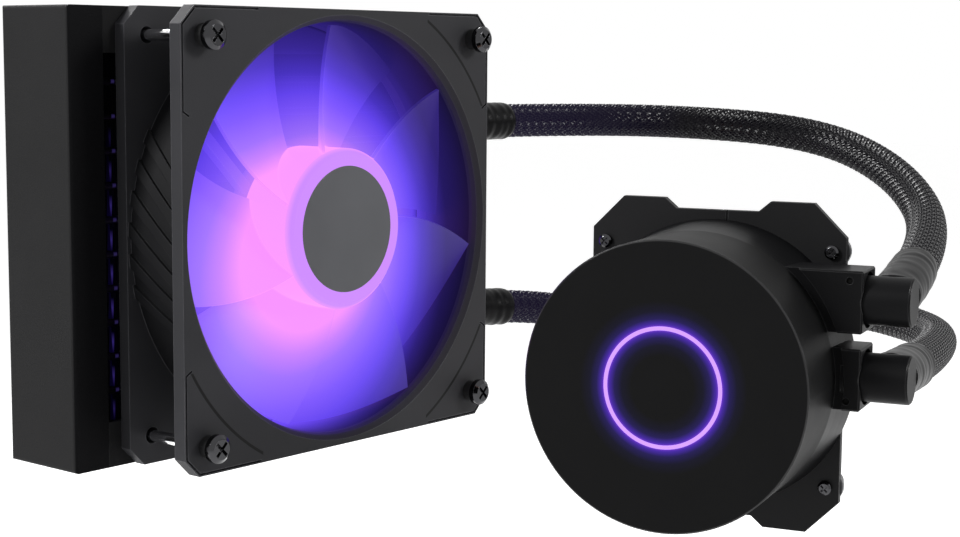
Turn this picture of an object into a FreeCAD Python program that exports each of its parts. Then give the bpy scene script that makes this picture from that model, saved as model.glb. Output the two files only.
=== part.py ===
import FreeCAD, Part
import math
import os

# All in one liquid cooler for a computer processor: a 120 mm radiator with its fan, a round pump with a copper
# cold plate, and two sleeved hoses between them.
# Millimetres. X runs along the radiator, Y is the way the air blows, out of the radiator's back, and Z is up.
# The origin is the middle of the radiator's back, where four screws hold the cooler to a computer's case.

# Radiator
FAN_SIZE = 120.0          # the fan's square, which the radiator, the screws and the barrel follow
RAD_HEIGHT = FAN_SIZE - 0.4
RAD_DEPTH = 27.2
CORE_HALF = FAN_SIZE / 2 + 4.0     # from the fan's axis to either tank
LEFT_TANK = 11.0
RIGHT_TANK = 18.0         # wider, because it takes the hose fittings
TANK_WALL = 1.2
TANK_EDGE = 1.0           # radius of the tanks' outer edges
HEADER = 1.2
TUBE_COUNT = 12
TUBE_PITCH = FAN_SIZE * 0.075
TUBE_THICK = 2.0
TUBE_DEPTH = 19.0
TUBE_WALL = 0.4
TUBE_REACH = 1.0          # how far a tube stands through its header
FIN_FOLDS = 50
FIN_SHEET = 0.7           # the folded sheet, measured upright
PLATE = 1.0               # top and bottom channels
PLATE_LIP = 12.0
BOSS_R = 3.5
BOSS_LENGTH = 2.4
CASE_HOLE_R = 1.75
SCREW_R = 1.5             # the fan's screws, and their threaded holes in the radiator
SCREW_INSET = 7.5         # of the fan's and the case's screws, from the fan's sides
SCREW_SPACING = FAN_SIZE - 2 * SCREW_INSET

# Fan
FAN_DEPTH = 25.0
FAN_CORNER = 4.75         # corner chamfer
FRONT_FLANGE = 4.0
BACK_FLANGE = 3.5
BARREL_R = FAN_SIZE / 2 - 1.3
BARREL_WALL = 1.9
MOUTH_ROUND = 1.7
MOUTH_DEPTH = 3.0
THROAT_R = BARREL_R - BARREL_WALL
MOUTH_R = THROAT_R + MOUTH_ROUND
FLANGE_HOLE_R = 2.2
RIB_COUNT = 6             # slanting ribs on each side of the barrel
RIB_HEIGHT = 0.9
RIB_SLANT = 38.0
LINE_INSET = 0.6          # the line engraved round each corner of the front
LINE_WIDTH = 0.5
LINE_DEPTH = 0.8
LINE_LEG = 26.0
LINE_HOOK = 1.8
HUB_R = 22.3
HUB_FRONT = 0.3           # how far the hub's face lies behind the flange's face
HUB_LENGTH = 18.5
HUB_WALL = 2.0
HUB_EDGE = 1.6
LABEL_R = 17.5
LABEL_THICK = 0.4
BLADE_COUNT = 7
BLADE_THICK = 1.5
BLADE_TIP_GAP = 1.0
BLADE_SWEEP = 13.0        # degrees that the tip leads the root
BLADE_FRONT = 1.6         # blades' front edge, behind the flange's face
BLADE_BACK = 18.5
MOTOR_R = 22.0
MOTOR_PLATE = 2.2
STRUT_COUNT = 4
STRUT_WIDTH = 3.0
STRUT_DEPTH = 3.4
BEARING_TUBE_R = 5.2
BEARING_R = 4.0
FAN_SHAFT_R = 1.5
FAN_SHAFT_GAP = 0.05
MAGNET_THICK = 1.9
MAGNET_LENGTH = 13.0
STATOR_R = 17.0
STATOR_LENGTH = 8.0
FAN_POLES = 4
BOARD = 1.6
HEAD_R = 3.75
HEAD_HEIGHT = 2.4
WASHER_R = 3.0
WASHER = 3.1
RECESS_WIDTH = 0.9
RECESS_DEPTH = 1.2

# Pump, in its own frame: x to its right, y from its lit face back to the cold plate, z up, from the face's middle
PUMP_PLACE = FreeCAD.Vector(-1.55, -157.47, -31.2)
PUMP_TURN = -74.87
CAP_R = 35.9
CAP_LENGTH = 25.0
CAP_WALL = 2.0
CAP_EDGE = 0.35
RING_R = 14.5             # middle of the lit line
RING_WIDTH = 1.0
RING_DEPTH = 1.2
RING_LEGS = 6
RING_LEG_R = 0.4
LED_COUNT = 12
LED_BOARD_R = 30.0
LED_BOARD_GAP = 2.0       # from the cap's inner face to the lights' board
PUMP_BOARD_R = 32.0
PUMP_BOARD_FRONT = 11.0
POST_R = 2.0
POST_CIRCLE = 27.0
BOARD_POST_CIRCLE = 28.5
SPIGOT_GAP = 0.2
SPIGOT = 3.0              # body's lip inside the cap
BODY_BACK = CAP_LENGTH + 17.0    # front of the bracket
RING_STEP = 5.0           # where the ring behind the cap begins to widen
RING_SWELL = 11.0
CABLE_SLOT = 3.0          # square slot for the cable, in the ring's side
CABLE_SLOT_BACK = 9.0
CABLE_SLOT_DEEP = 5.0
BODY_R = 37.5
NECK_R = 29.8             # body's neck through the bracket
CAN_R = 11.5
CAN_WALL = 1.2
CAN_FRONT = 9.0
IMPELLER_ROOM_R = 15.0
IMPELLER_ROOM = 8.0
WATER_ROOM_R = 22.0
WATER_ROOM = 6.0          # between the volute plate and the bracket's front
BLOCK_IN = 16.0           # where the port blocks start inside the body
VOLUTE_PLATE = 2.0
VOLUTE_EYE_R = 4.5
ROTOR_GAP = 0.8
ROTOR_BACK = 1.0
IMPELLER_R = 13.0
IMPELLER_DISC = 1.2
IMPELLER_BLADE = 4.0
IMPELLER_VANE = 1.0
IMPELLER_BLADES = 6
PUMP_SHAFT_R = 1.25
PUMP_SHAFT_GAP = 0.05
SHAFT_OUT = 6.0           # how far the shaft stands into the impeller's room
COIL_COUNT = 6
PUMP_STATOR_R = 24.0
PUMP_STATOR_LENGTH = CAP_LENGTH - PUMP_BOARD_FRONT - 3.0
BRACKET = 2.0
BRACKET_HALF_W = 34.0
BRACKET_HALF_H = 42.6
BRACKET_CORNER = 8.5
BRACKET_NOTCH = 2.7
BRACKET_NOTCH_W = 11.0
BRACKET_NOTCH_SLOPE = 3.2
BRACKET_JOINT = 2.7
BRACKET_SLIT = 0.4
BRACKET_LAP = 1.6         # how far one half reaches behind the other
BRACKET_SCREWS = 60.8
NECK_GAP = 0.3
STUD_HEAD_R = 1.8
STUD_HEAD = 1.4
STUD_R = 1.1
STANDOFF_R = 2.9
STANDOFF_FLANGE_R = 4.2
STANDOFF_FLANGE = 1.5
STANDOFF_LENGTH = 6.7
STANDOFF_HOLE_R = 1.5
BASE_FRAME = 5.2
BASE_HALF = 30.0
BASE_CORNER = 9.0
COLD_PLATE = 3.5
COLD_HALF = 28.0
COLD_CORNER = 6.0
MICROFIN = 0.6
MICROFIN_PITCH = 1.4
MICROFIN_HEIGHT = 3.0
MICROFIN_FIELD = 27.0
GASKET_IN_R = 23.0
GASKET_OUT_R = 24.4
GASKET = 1.2
BASE_SCREWS = 8
BASE_SCREW_CIRCLE = 27.4
BASE_SCREW_R = 1.0
BASE_SCREW_HEAD_R = 2.0
BASE_SCREW_HEAD = 1.2

# Hose ports on the pump
PORT_HEIGHTS = (20.3, 1.2)     # upper and lower, above the pump's axis
PORT_DEPTH = CAP_LENGTH + 6.0  # behind the pump's face
BLOCK_HEIGHT = 15.4
BLOCK_FRONT = PORT_DEPTH - 6.8
BLOCK_BACK = PORT_DEPTH + 6.6
BLOCK_OUT = 42.4
BLOCK_EDGE = 0.4
BLOCK_GAP = 0.9                # dark gap between the body's ring and the blocks
BLOCK_GAP_WALL = 0.8           # left between that gap and the spout's bore
SEAT_IN = 37.2                 # inner end of an elbow's seat
ELBOW_R = 6.1
ELBOW_OUT = 53.5
ELBOW_LEG_AXIS = 47.5
ELBOW_LEG = 7.95
ELBOW_LEG_R = 4.7
ELBOW_GAP = 0.08
SPOUT_R = 4.4
SPOUT_IN = 27.5
SPOUT_BORE = 2.6
SEAL = 1.6
PIN_R = 0.85
PIN_X = 39.0
PIN_OFFSET = 5.3
PIN_GAP = 0.05
LEG_TILTS = (7.3, -3.4)        # degrees above level at which each elbow's leg points back
TAIL_R = 3.3                   # elbow's tail inside the hose
TAIL = 20.0
MOUTH_FLARE = 0.8
MOUTH_FLARE_DEPTH = 1.9

# Hoses and their sleeves
HOSE_R = 5.5
HOSE_BORE_R = 3.6
FITTING_R = 6.6
FITTING = 4.0
FITTING_STEP = 1.4
BARB = 18.0
SLEEVE_R = 6.3
SLEEVE_GAP = 0.3
RADIATOR_SLEEVE = 28.0
PUMP_SLEEVE = 25.0
FILL_SCREW_R = 3.6
ARC_SHARE = 0.45
UPPER_FITTING_Z = RAD_HEIGHT / 2 - 33.7
LOWER_FITTING_Z = 24.2 - RAD_HEIGHT / 2
FILL_SCREW_Z = UPPER_FITTING_Z - 18.1
FIRST_RUNS = (45.9, 34.4)      # straight out of the radiator's fittings
LAST_RUNS = (58.0, 53.4)       # straight into the elbows
UPPER_BENDS = [(172.0, -47.6, 25.7), (175.9, -100.1, 23.0), (149.7, -143.7, 12.5)]
LOWER_BENDS = [(171.0, -41.3, -47.3), (188.0, -101.1, -35.6), (149.4, -158.1, -34.4)]

# Places that several pieces share
FAN_BACK = -RAD_DEPTH
FAN_FRONT = FAN_BACK - FAN_DEPTH
CORE_FRONT = -(RAD_DEPTH + TUBE_DEPTH) / 2
CORE_BACK = CORE_FRONT + TUBE_DEPTH
SCREW_HALF = SCREW_SPACING / 2
LEFT_END = -CORE_HALF - LEFT_TANK
RIGHT_END = CORE_HALF + RIGHT_TANK
SCREW_PLACES = [(x, z) for x in (-SCREW_HALF, SCREW_HALF) for z in (-SCREW_HALF, SCREW_HALF)]
HUB_FACE = FAN_FRONT + HUB_FRONT
HUB_BACK = HUB_FACE + HUB_LENGTH
HUB_IN_R = HUB_R - HUB_WALL
MOTOR_FACE = FAN_BACK - MOTOR_PLATE
ROOM_FRONT = BODY_BACK - VOLUTE_PLATE - WATER_ROOM - IMPELLER_ROOM
ROOM_BACK = ROOM_FRONT + IMPELLER_ROOM
NECK_BACK = BODY_BACK + BRACKET
BASE_BACK = NECK_BACK + BASE_FRAME
PUMP_BACK = BASE_BACK + COLD_PLATE
BRACKET_HALF_SCREWS = BRACKET_SCREWS / 2
PORT_BORE_R = ELBOW_R + ELBOW_GAP
BLOCK_GAP_FLOOR = PORT_DEPTH - SPOUT_R - ELBOW_GAP - BLOCK_GAP_WALL


# Small tools of the trade

def box(x0, x1, y0, y1, z0, z1):
    """A box between two corners."""
    return Part.makeBox(x1 - x0, y1 - y0, z1 - z0, FreeCAD.Vector(x0, y0, z0))


def rod(radius, y0, y1, x=0.0, z=0.0):
    """A round bar along Y."""
    return Part.makeCylinder(radius, y1 - y0, FreeCAD.Vector(x, y0, z), FreeCAD.Vector(0, 1, 0))


def tube(outer, inner, y0, y1, x=0.0, z=0.0):
    """A round bar along Y with a bore through it."""
    return rod(outer, y0, y1, x, z).cut(rod(inner, y0 - 1, y1 + 1, x, z))


def cross_rod(radius, x0, x1, y, z):
    """A round bar along X."""
    return Part.makeCylinder(radius, x1 - x0, FreeCAD.Vector(x0, y, z), FreeCAD.Vector(1, 0, 0))


def turned(profile):
    """A solid of revolution about the Y axis, from its (radius, y) corners."""
    points = [FreeCAD.Vector(r, y, 0) for r, y in profile]
    face = Part.Face(Part.makePolygon(points + points[:1]))
    return face.revolve(FreeCAD.Vector(0, 0, 0), FreeCAD.Vector(0, 1, 0), 360)


def slab(outline, y0, y1):
    """A flat plate facing Y, from its (x, z) corners."""
    points = [FreeCAD.Vector(x, y0, z) for x, z in outline]
    return Part.Face(Part.makePolygon(points + points[:1])).extrude(FreeCAD.Vector(0, y1 - y0, 0))


def cut_corners(half_w, half_h, corner):
    """Corners of a rectangle with its four corners cut off."""
    w, h, c = half_w, half_h, corner
    return [(-w, -h + c), (-w + c, -h), (w - c, -h), (w, -h + c), (w, h - c), (w - c, h), (-w + c, h), (-w, h - c)]


def around(shape, count, start=0.0):
    """Copies of a shape, evenly spaced about the Y axis."""
    copies = []
    for k in range(count):
        copy = shape.copy()
        copy.rotate(FreeCAD.Vector(0, 0, 0), FreeCAD.Vector(0, 1, 0), start + 360.0 * k / count)
        copies.append(copy)
    return copies


def fused(shapes):
    """One solid from several that meet."""
    return shapes[0].multiFuse(shapes[1:]).removeSplitter()


def on_pump(shape):
    """Moves a shape from the pump's own frame to its place beside the radiator."""
    moved = shape.copy()
    moved.rotate(FreeCAD.Vector(0, 0, 0), FreeCAD.Vector(0, 0, 1), PUMP_TURN)
    moved.translate(PUMP_PLACE)
    return moved


def hose_route(z, bends, port):
    """A hose's corners, from the middle of its fitting's end to the middle of its elbow's leg."""
    x, y = RIGHT_END + FITTING, -RAD_DEPTH / 2
    tilt = math.radians(LEG_TILTS[port])
    turn = FreeCAD.Rotation(FreeCAD.Vector(0, 0, 1), PUMP_TURN)
    way = FreeCAD.Vector(0, math.cos(tilt), math.sin(tilt))
    leg_end = FreeCAD.Vector(ELBOW_LEG_AXIS, PORT_DEPTH, PORT_HEIGHTS[port]) + way * ELBOW_LEG
    ends = [PUMP_PLACE + turn.multVec(leg_end + way * LAST_RUNS[port]), PUMP_PLACE + turn.multVec(leg_end)]
    return [(x, y, z), (x + FIRST_RUNS[port], y, z)] + bends + [tuple(p) for p in ends]


UPPER_ROUTE = hose_route(UPPER_FITTING_Z, UPPER_BENDS, 0)
LOWER_ROUTE = hose_route(LOWER_FITTING_Z, LOWER_BENDS, 1)


def save(name, shape):
    """Writes one piece of the cooler."""
    shape.exportStep("parts/" + name + ".step")
    print(name, "solids", len(shape.Solids), "valid", shape.isValid(), "mm3", round(shape.Volume, 1))


# Radiator

def tank(x_out, x_in):
    """An end tank: a brazed box with rounded outer edges, open towards the core."""
    side = 1 if x_out > x_in else -1
    low, high = min(x_out, x_in), max(x_out, x_in)
    half = RAD_HEIGHT / 2
    shell = box(low, high, -RAD_DEPTH, 0, -half, half)
    edges = [e for e in shell.Edges if abs(e.CenterOfMass.x - x_out) < 0.01]
    shell = shell.makeFillet(TANK_EDGE, edges)
    room = box(low + (TANK_WALL if side < 0 else -1), high + (1 if side < 0 else -TANK_WALL),
               -RAD_DEPTH + TANK_WALL, -TANK_WALL, -half + TANK_WALL, half - TANK_WALL)
    return shell.cut(room)


def tube_heights():
    """Height of each flat tube's middle."""
    return [(k - (TUBE_COUNT - 1) / 2) * TUBE_PITCH for k in range(TUBE_COUNT)]


def flat_tubes(hollow_ones):
    """The flat water tubes, rounded front and back, from tank to tank, with or without their bores."""
    reach = CORE_HALF + TUBE_REACH
    round_r = TUBE_THICK / 2
    tubes = []
    for z in tube_heights():
        middle = box(-reach, reach, CORE_FRONT + round_r, CORE_BACK - round_r, z - round_r, z + round_r)
        ends = [cross_rod(round_r, -reach, reach, y, z) for y in (CORE_FRONT + round_r, CORE_BACK - round_r)]
        if hollow_ones:
            bore = box(-reach - 1, reach + 1, CORE_FRONT + round_r, CORE_BACK - round_r,
                       z - round_r + TUBE_WALL, z + round_r - TUBE_WALL)
            tubes.append(fused([middle] + ends).cut(bore))
        else:
            tubes.append(fused([middle] + ends))
    return Part.makeCompound(tubes)


def header(x_in, side, tubes):
    """The plate that closes a tank's mouth, with a slot for each tube."""
    low, high = sorted((x_in, x_in + side * HEADER))
    half = RAD_HEIGHT / 2 - TANK_WALL
    return box(low, high, -RAD_DEPTH + TANK_WALL, -TANK_WALL, -half, half).cut(tubes)


def fin_strip(z0, z1):
    """One strip of sheet folded to and fro between two tubes."""
    rise = z1 - z0 - FIN_SHEET
    xs = [-CORE_HALF + 2 * CORE_HALF * k / FIN_FOLDS for k in range(FIN_FOLDS + 1)]
    under = [(x, z0 + rise * (k % 2)) for k, x in enumerate(xs)]
    over = [(x, z + FIN_SHEET) for x, z in reversed(under)]
    return slab(under + over, CORE_FRONT, CORE_BACK)


def fins():
    """A folded strip in every space between the tubes and the two channels."""
    levels = tube_heights()
    half = RAD_HEIGHT / 2 - PLATE
    lows = [-half] + [z + TUBE_THICK / 2 for z in levels]
    highs = [z - TUBE_THICK / 2 for z in levels] + [half]
    return Part.makeCompound([fin_strip(a, b) for a, b in zip(lows, highs)])


def channel(side):
    """The top or bottom channel, whose lips carry the fan's and the case's threaded holes."""
    half = RAD_HEIGHT / 2
    low, high = sorted((side * half, side * (half - PLATE)))
    lip_low, lip_high = sorted((side * half, side * (half - PLATE_LIP)))
    plates = [box(-CORE_HALF, CORE_HALF, -RAD_DEPTH, 0, low, high)]
    plates += [box(-CORE_HALF, CORE_HALF, y, y + PLATE, lip_low, lip_high) for y in (-RAD_DEPTH, -PLATE)]
    holes = []
    for x in (-SCREW_HALF, SCREW_HALF):
        z = side * SCREW_HALF
        plates.append(rod(BOSS_R, -RAD_DEPTH, -RAD_DEPTH + PLATE + BOSS_LENGTH, x, z))
        plates.append(rod(BOSS_R, -PLATE - BOSS_LENGTH, 0, x, z))
        holes.append(rod(SCREW_R, -RAD_DEPTH - 1, -RAD_DEPTH + PLATE + BOSS_LENGTH + 0.01, x, z))
        holes.append(rod(CASE_HOLE_R, -PLATE - BOSS_LENGTH - 0.01, 1, x, z))
    return fused(plates).cut(Part.makeCompound(holes))


def fitting(route):
    """A turned fitting in the tank's end, with a tail for the hose."""
    z = route[0][2]
    y = -RAD_DEPTH / 2
    x = RIGHT_END + FITTING
    inside = RIGHT_END - TANK_WALL - 1.0
    body = fused([cross_rod(FITTING_R - FITTING_STEP, inside, RIGHT_END, y, z), cross_rod(FITTING_R, RIGHT_END, x, y, z),
                  cross_rod(HOSE_BORE_R, x, x + BARB, y, z)])
    return body.cut(cross_rod(SPOUT_BORE, inside - 1, x + BARB + 1, y, z))


def fill_screw():
    """The screw that closes the filling hole between the two fittings, with a hexagon socket."""
    y = -RAD_DEPTH / 2
    head = cross_rod(FILL_SCREW_R + 1.4, RIGHT_END, RIGHT_END + 1.2, y, FILL_SCREW_Z)
    stem = cross_rod(FILL_SCREW_R, RIGHT_END - TANK_WALL - 2.0, RIGHT_END, y, FILL_SCREW_Z)
    corners = [FreeCAD.Vector(RIGHT_END - 1.0, y + 2 * math.cos(a), FILL_SCREW_Z + 2 * math.sin(a))
               for a in [math.pi / 3 * k for k in range(6)]]
    socket = Part.Face(Part.makePolygon(corners + corners[:1])).extrude(FreeCAD.Vector(3, 0, 0))
    return head.fuse(stem).removeSplitter().cut(socket)


def make_radiator():
    """Core, tanks, channels, fittings and the filling screw."""
    tubes = flat_tubes(False)
    left = tank(LEFT_END, -CORE_HALF)
    right = tank(RIGHT_END, CORE_HALF)
    holes = [cross_rod(FITTING_R - FITTING_STEP, CORE_HALF + 5, RIGHT_END + 1, -RAD_DEPTH / 2, route[0][2])
             for route in (UPPER_ROUTE, LOWER_ROUTE)]
    holes.append(cross_rod(FILL_SCREW_R, CORE_HALF + 5, RIGHT_END + 1, -RAD_DEPTH / 2, FILL_SCREW_Z))
    right = right.cut(Part.makeCompound(holes))
    save("left_tank", left)
    save("right_tank", right)
    save("left_header", header(-CORE_HALF, -1, tubes))
    save("right_header", header(CORE_HALF, 1, tubes))
    save("tank_divider", box(CORE_HALF + HEADER, RIGHT_END - TANK_WALL, -RAD_DEPTH + TANK_WALL, -TANK_WALL,
                             -TANK_WALL / 2, TANK_WALL / 2))
    save("radiator_tubes", flat_tubes(True))
    save("radiator_fins", fins())
    save("top_channel", channel(1))
    save("bottom_channel", channel(-1))
    save("upper_radiator_fitting", fitting(UPPER_ROUTE))
    save("lower_radiator_fitting", fitting(LOWER_ROUTE))
    save("fill_screw", fill_screw())


# Fan

def corner_line():
    """The line engraved in the front face round the corner at +x +z, with a short hook at its lower end."""
    out = FAN_SIZE / 2 - LINE_INSET
    cut = FAN_CORNER - 0.4
    path = [(out - LINE_LEG, out), (out - cut, out), (out, out - cut), (out, out - LINE_LEG),
            (out - LINE_HOOK, out - LINE_LEG - LINE_HOOK * 0.6)]
    strokes = []
    for (x0, z0), (x1, z1) in zip(path, path[1:]):
        reach = math.hypot(x1 - x0, z1 - z0)
        stroke = box(0, reach, FAN_FRONT - 1, FAN_FRONT + LINE_DEPTH, -LINE_WIDTH / 2, LINE_WIDTH / 2)
        stroke.rotate(FreeCAD.Vector(0, 0, 0), FreeCAD.Vector(0, 1, 0), -math.degrees(math.atan2(z1 - z0, x1 - x0)))
        stroke.translate(FreeCAD.Vector(x0, 0, z0))
        strokes += [stroke, rod(LINE_WIDTH / 2, FAN_FRONT - 1, FAN_FRONT + LINE_DEPTH, x1, z1)]
    return fused(strokes)


def corner_lines():
    """The lines of all four corners: the right side's mirror the left side's."""
    right = corner_line()
    left = right.mirror(FreeCAD.Vector(0, 0, 0), FreeCAD.Vector(1, 0, 0))
    low_right = right.mirror(FreeCAD.Vector(0, 0, 0), FreeCAD.Vector(0, 0, 1))
    low_left = left.mirror(FreeCAD.Vector(0, 0, 0), FreeCAD.Vector(0, 0, 1))
    return [right, left, low_right, low_left]


def barrel_ribs():
    """Slanting ribs on the barrel's left and right sides, between the flanges."""
    y0, y1 = FAN_FRONT + FRONT_FLANGE, FAN_BACK - BACK_FLANGE
    middle = (y0 + y1) / 2
    rib = box(BARREL_R - 1.0, BARREL_R + RIB_HEIGHT, y0 - 10, y1 + 10, -1.4, 1.4)
    rib.rotate(FreeCAD.Vector(0, middle, 0), FreeCAD.Vector(1, 0, 0), -RIB_SLANT)
    ribs = []
    for side in (0, 180):
        for k in range(RIB_COUNT):
            copy = rib.copy()
            angle = side + (k - (RIB_COUNT - 1) / 2) * 8.0
            copy.rotate(FreeCAD.Vector(0, 0, 0), FreeCAD.Vector(0, 1, 0), angle)
            ribs.append(copy)
    shell = tube(BARREL_R + RIB_HEIGHT, BARREL_R - 0.5, y0 - 0.2, y1 + 0.2)
    inside = box(-FAN_SIZE / 2, FAN_SIZE / 2, y0 - 1, y1 + 1, -FAN_SIZE / 2, FAN_SIZE / 2)
    return [r.common(shell).common(inside) for r in ribs]


def fan_frame():
    """Two flanges on a round barrel, and the motor's plate on four struts at the back."""
    half = FAN_SIZE / 2
    outline = cut_corners(half, half, FAN_CORNER)
    frame = [slab(outline, FAN_FRONT, FAN_FRONT + FRONT_FLANGE), slab(outline, FAN_BACK - BACK_FLANGE, FAN_BACK),
             rod(BARREL_R, FAN_FRONT, FAN_BACK)]
    frame = fused(frame + barrel_ribs())
    mouth = turned([(0, FAN_FRONT - 1), (MOUTH_R, FAN_FRONT - 1), (MOUTH_R, FAN_FRONT),
                    (THROAT_R + 0.4, FAN_FRONT + MOUTH_DEPTH * 0.5), (THROAT_R, FAN_FRONT + MOUTH_DEPTH),
                    (THROAT_R, FAN_BACK + 1), (0, FAN_BACK + 1)])
    frame = frame.cut(mouth)
    strut = box(-STRUT_WIDTH / 2, STRUT_WIDTH / 2, FAN_BACK - STRUT_DEPTH, FAN_BACK - 0.2, MOTOR_R - 2, BARREL_R - 0.6)
    strut.rotate(FreeCAD.Vector(0, 0, MOTOR_R), FreeCAD.Vector(0, 1, 0), 12)
    struts = [s.common(rod(BARREL_R - 0.5, FAN_BACK - 9, FAN_BACK)) for s in around(strut, STRUT_COUNT, 33)]
    plate = rod(MOTOR_R, MOTOR_FACE, FAN_BACK - 0.2)
    holder = rod(BEARING_TUBE_R, MOTOR_FACE - 13.0, FAN_BACK - 0.2)
    frame = fused([frame, plate, holder] + struts)
    cuts = [rod(BEARING_R, MOTOR_FACE - 14.0, MOTOR_FACE)]
    cuts += [rod(FLANGE_HOLE_R, FAN_FRONT - 1, FAN_BACK + 1, x, z) for x, z in SCREW_PLACES]
    cuts += corner_lines()
    return frame.cut(Part.makeCompound(cuts))


def blade_section(radius, chord, angle, lead, camber):
    """A blade's thin curved section, on a plane that faces out from the axis."""
    turn = math.radians(angle)
    middle = FAN_FRONT + (BLADE_FRONT + BLADE_BACK) / 2
    half = BLADE_THICK / 2

    def at(along, off):
        return (along * math.cos(turn) - off * math.sin(turn), middle + along * math.sin(turn) + off * math.cos(turn))

    def placed(point):
        lean = math.radians(lead)
        x, y = point
        return FreeCAD.Vector(x * math.cos(lean) + radius * math.sin(lean), y,
                              radius * math.cos(lean) - x * math.sin(lean))

    ends = [(-chord / 2, -half * 0.6), (-chord / 2, half * 0.6), (chord / 2, half * 0.6), (chord / 2, -half * 0.6)]
    a, b, c, d = [placed(at(*p)) for p in ends]
    front = placed(at(0, camber - half))
    back = placed(at(0, camber + half))
    edges = [Part.makeLine(a, b), Part.Arc(b, back, c).toShape(), Part.makeLine(c, d), Part.Arc(d, front, a).toShape()]
    return Part.Wire(edges)


def fan_blade():
    """One swept blade, lofted through three sections from inside the hub to past the tip."""
    depth = BLADE_BACK - BLADE_FRONT - BLADE_THICK
    tip = THROAT_R - BLADE_TIP_GAP
    sections = []
    for share, chord, camber in ((0.0, 22.5, 1.8), (0.5, 35.0, 2.8), (1.0, 49.0, 3.2)):
        radius = HUB_R * 0.66 + (tip + 5.0 - HUB_R * 0.66) * share
        angle = math.degrees(math.asin(min(0.98, (depth - 2.0 * share) / chord)))
        sections.append(blade_section(radius, chord, angle, BLADE_SWEEP * share ** 1.6, camber))
    blade = Part.makeLoft(sections, True, False)
    return blade.common(rod(tip, FAN_FRONT, FAN_BACK))


def fan_rotor():
    """Hub and blades, moulded as one piece."""
    hub = turned([(0, HUB_FACE), (HUB_R - HUB_EDGE, HUB_FACE), (HUB_R, HUB_FACE + HUB_EDGE), (HUB_R, HUB_BACK),
                  (0, HUB_BACK)])
    rotor = fused([hub] + around(fan_blade(), BLADE_COUNT, 8.0))
    room = rod(HUB_IN_R, HUB_FACE + HUB_WALL, FAN_BACK)
    label = rod(LABEL_R, HUB_FACE - 1, HUB_FACE + LABEL_THICK)
    shaft = rod(FAN_SHAFT_R, HUB_FACE + HUB_WALL - 1.0, FAN_BACK)
    return rotor.cut(room).cut(label).cut(shaft)


def fan_stator():
    """The stator's laminations with a winding on each of its four poles, as one wound piece."""
    y1 = MOTOR_FACE - 2.4
    y0 = y1 - STATOR_LENGTH
    core = rod(BEARING_TUBE_R + 3.0, y0, y1)
    pole = box(-3.0, 3.0, y0 + 1.5, y1 - 1.5, 0, STATOR_R - 1.5)
    shoe = tube(STATOR_R, STATOR_R - 2.2, y0, y1).common(box(-9.5, 9.5, y0, y1, 0, STATOR_R + 1))
    winding = box(-4.6, 4.6, y0, y1, BEARING_TUBE_R + 3.6, STATOR_R - 3.0)
    wound = fused([core] + around(fused([pole, shoe, winding]), FAN_POLES, 45.0))
    return wound.cut(rod(BEARING_TUBE_R, y0 - 1, y1 + 1))


def screw(length, head_r, head_height, shank_r):
    """A pan head screw along Y with a cross recess, its head's front at y = 0."""
    head = turned([(0, 0), (head_r * 0.72, 0), (head_r, head_height * 0.35), (head_r, head_height), (0, head_height)])
    body = head.fuse(rod(shank_r, head_height, length)).removeSplitter()
    depth = min(RECESS_DEPTH, head_height * 0.6)
    width = RECESS_WIDTH * head_r / HEAD_R
    slot = box(-head_r * 0.62, head_r * 0.62, -1, depth, -width / 2, width / 2)
    return body.cut(fused(around(slot, 4, 45.0)))


def at_places(shape, places, y):
    """A copy of a shape at each (x, z) place."""
    copies = []
    for x, z in places:
        copy = shape.copy()
        copy.translate(FreeCAD.Vector(x, y, z))
        copies.append(copy)
    return Part.makeCompound(copies)


def make_fan():
    """Frame, motor, rotor and the four long screws."""
    save("fan_frame", fan_frame())
    save("fan_rotor", fan_rotor())
    save("hub_label", rod(LABEL_R, HUB_FACE, HUB_FACE + LABEL_THICK))
    magnet_front = HUB_FACE + HUB_WALL
    save("fan_magnet", tube(HUB_IN_R, HUB_IN_R - MAGNET_THICK, magnet_front, magnet_front + MAGNET_LENGTH))
    save("fan_shaft", rod(FAN_SHAFT_R, HUB_FACE + HUB_WALL - 1.0, MOTOR_FACE - 0.6))
    save("fan_bearing", tube(BEARING_R, FAN_SHAFT_R + FAN_SHAFT_GAP, MOTOR_FACE - 12.0, MOTOR_FACE))
    save("fan_stator", fan_stator())
    save("fan_board", tube(STATOR_R + 1.0, BEARING_TUBE_R, MOTOR_FACE - BOARD, MOTOR_FACE))
    led = box(-1.6, 1.6, MOTOR_FACE - BOARD - 0.8, MOTOR_FACE - BOARD, STATOR_R - 3.0, STATOR_R)
    save("fan_leds", Part.makeCompound(around(led, 4, 0.0)))
    head = FAN_FRONT - WASHER - HEAD_HEIGHT
    length = -RAD_DEPTH + PLATE + BOSS_LENGTH - head
    save("fan_screws", at_places(screw(length, HEAD_R, HEAD_HEIGHT, SCREW_R), SCREW_PLACES, head))
    save("fan_washers", at_places(tube(WASHER_R, SCREW_R, 0, WASHER), SCREW_PLACES, FAN_FRONT - WASHER))


# Pump

def pump_cap():
    """The round cap, with the groove that the lit line lies in."""
    cap = turned([(0, 0), (CAP_R - CAP_EDGE, 0), (CAP_R, CAP_EDGE), (CAP_R, CAP_LENGTH), (CAP_R - CAP_WALL, CAP_LENGTH),
                  (CAP_R - CAP_WALL, CAP_WALL), (0, CAP_WALL)])
    post = rod(POST_R, CAP_WALL - 0.5, CAP_WALL + LED_BOARD_GAP, 0, POST_CIRCLE)
    cap = fused([cap] + around(post, 3))
    groove = tube(RING_R + RING_WIDTH / 2, RING_R - RING_WIDTH / 2, -1, RING_DEPTH)
    legs = around(rod(RING_LEG_R, 0, CAP_WALL + 1, 0, RING_R), RING_LEGS)
    return cap.cut(Part.makeCompound([groove] + legs))


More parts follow.
